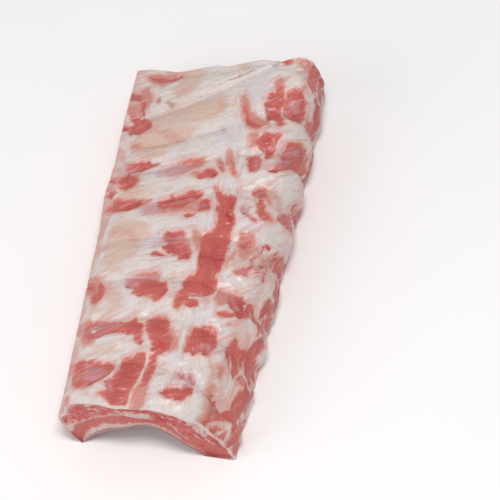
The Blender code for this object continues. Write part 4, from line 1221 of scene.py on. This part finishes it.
def bone_material(number, middle, half_width):
    """A sawn rib: a hard pale rim round red, spongy marrow."""
    g = Graph(f"rib_bone_{number}")
    place = g.scaled(g.add("ShaderNodeTexCoord", {}, 3), (1 / MM,) * 3)
    away = g.add("ShaderNodeVectorMath", {0: place, 1: tuple(middle)}, operation="SUBTRACT")
    flat = g.scaled(away, (0.5 / half_width, 1 / half_width, 1.3 / half_width))
    across = g.add("ShaderNodeVectorMath", {0: flat}, 1, operation="LENGTH")
    sponge = g.noise(place, 1.3, 3.0, 0.65)
    across = g.math("MULTIPLY_ADD", g.math("SUBTRACT", sponge, 0.5), 0.3, across)
    marrow = g.mix(g.ease(sponge, 0.42, 0.62), MARROW, MARROW_LIGHT)
    colour = g.mix(g.ease(across, 0.64, 0.86), marrow, BONE_RIM)
    g.finish(colour, g.ease(sponge, 0.3, 0.7, 0.35, 0.6), sponge, 0.6,
             {"Coat Weight": 0.2, "Coat Roughness": 0.25})
    return g.material


def floor_material():
    g = Graph("floor")
    speckle = g.noise(g.add("ShaderNodeTexCoord", {}, 3), 9.0, 2.0)
    g.set(g.shader.inputs["Base Color"], g.mix(speckle, *FLOOR_COLOURS))
    g.set(g.shader.inputs["Roughness"], 0.6)
    return g.material


# --- Scene ------------------------------------------------------------------------------------

CAMERA_AT = (0.31395, -0.8095, 1.259)
CAMERA_RIGHT = (0.9776, 0.1865, -0.0976)
CAMERA_UP = (-0.1006, 0.8213, 0.5615)
CAMERA_LENS = 183.6
FLOOR_COLOURS = ((0.92, 0.915, 0.915, 1), (0.95, 0.945, 0.945, 1))
FLOOR_SIZE = 3.0
SKY = (0.98, 0.985, 1.0, 1)
SKY_STRENGTH = 0.45
AIM = (0, 0, 0.02)
# Each light: its name, place, size, power and colour.
LIGHTS = (
    ("key", (0.25, -0.35, 1.5), 0.55, 13.1, (1.0, 0.98, 0.96)),
    ("fill", (-1.1, -0.9, 0.8), 1.2, 5.7, (1.0, 0.99, 0.98)),
)


def add_object(name, data):
    obj = bpy.data.objects.new(name, data)
    bpy.context.scene.collection.objects.link(obj)
    return obj


def add_floor():
    mesh = bpy.data.meshes.new("floor")
    work = bmesh.new()
    bmesh.ops.create_grid(work, x_segments=8, y_segments=8, size=FLOOR_SIZE)
    work.to_mesh(mesh)
    work.free()
    mesh.materials.append(floor_material())
    add_object("floor", mesh)


def add_camera():
    data = bpy.data.cameras.new("camera")
    data.sensor_width = 36.0
    data.lens = CAMERA_LENS
    data.clip_start = 0.05
    right, up = Vector(CAMERA_RIGHT).normalized(), Vector(CAMERA_UP)
    back = right.cross(up).normalized()
    turn = Matrix((right, back.cross(right), back)).transposed().to_4x4()
    camera = add_object("camera", data)
    camera.matrix_world = Matrix.Translation(CAMERA_AT) @ turn
    bpy.context.scene.camera = camera


def add_lights():
    world = bpy.data.worlds.new("studio")
    world.use_nodes = True
    background = world.node_tree.nodes["Background"]
    background.inputs["Color"].default_value = SKY
    background.inputs["Strength"].default_value = SKY_STRENGTH
    bpy.context.scene.world = world
    for name, at, size, power, colour in LIGHTS:
        data = bpy.data.lights.new(name, "AREA")
        data.shape = "DISK"
        data.size = size
        data.energy = power
        data.color = colour
        turn = (Vector(AIM) - Vector(at)).to_track_quat("-Z", "Y").to_matrix().to_4x4()
        add_object(name, data).matrix_world = Matrix.Translation(at) @ turn


def main():
    mesh = rack_mesh()
    mesh.materials.append(skin_material())
    rack = add_object("rack_skin", mesh)
    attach(rack, "root")
    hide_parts("meat")
    for rib, (middle, _, half_width) in enumerate(bone_ends()):
        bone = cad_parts[f"rib_bone_{rib + 1}"]
        material = bone_material(rib + 1, middle, half_width)
        for slot in bone.material_slots:
            slot.material = material
    add_floor()
    add_camera()
    add_lights()
    bpy.context.scene.view_settings.view_transform = "Standard"


main()
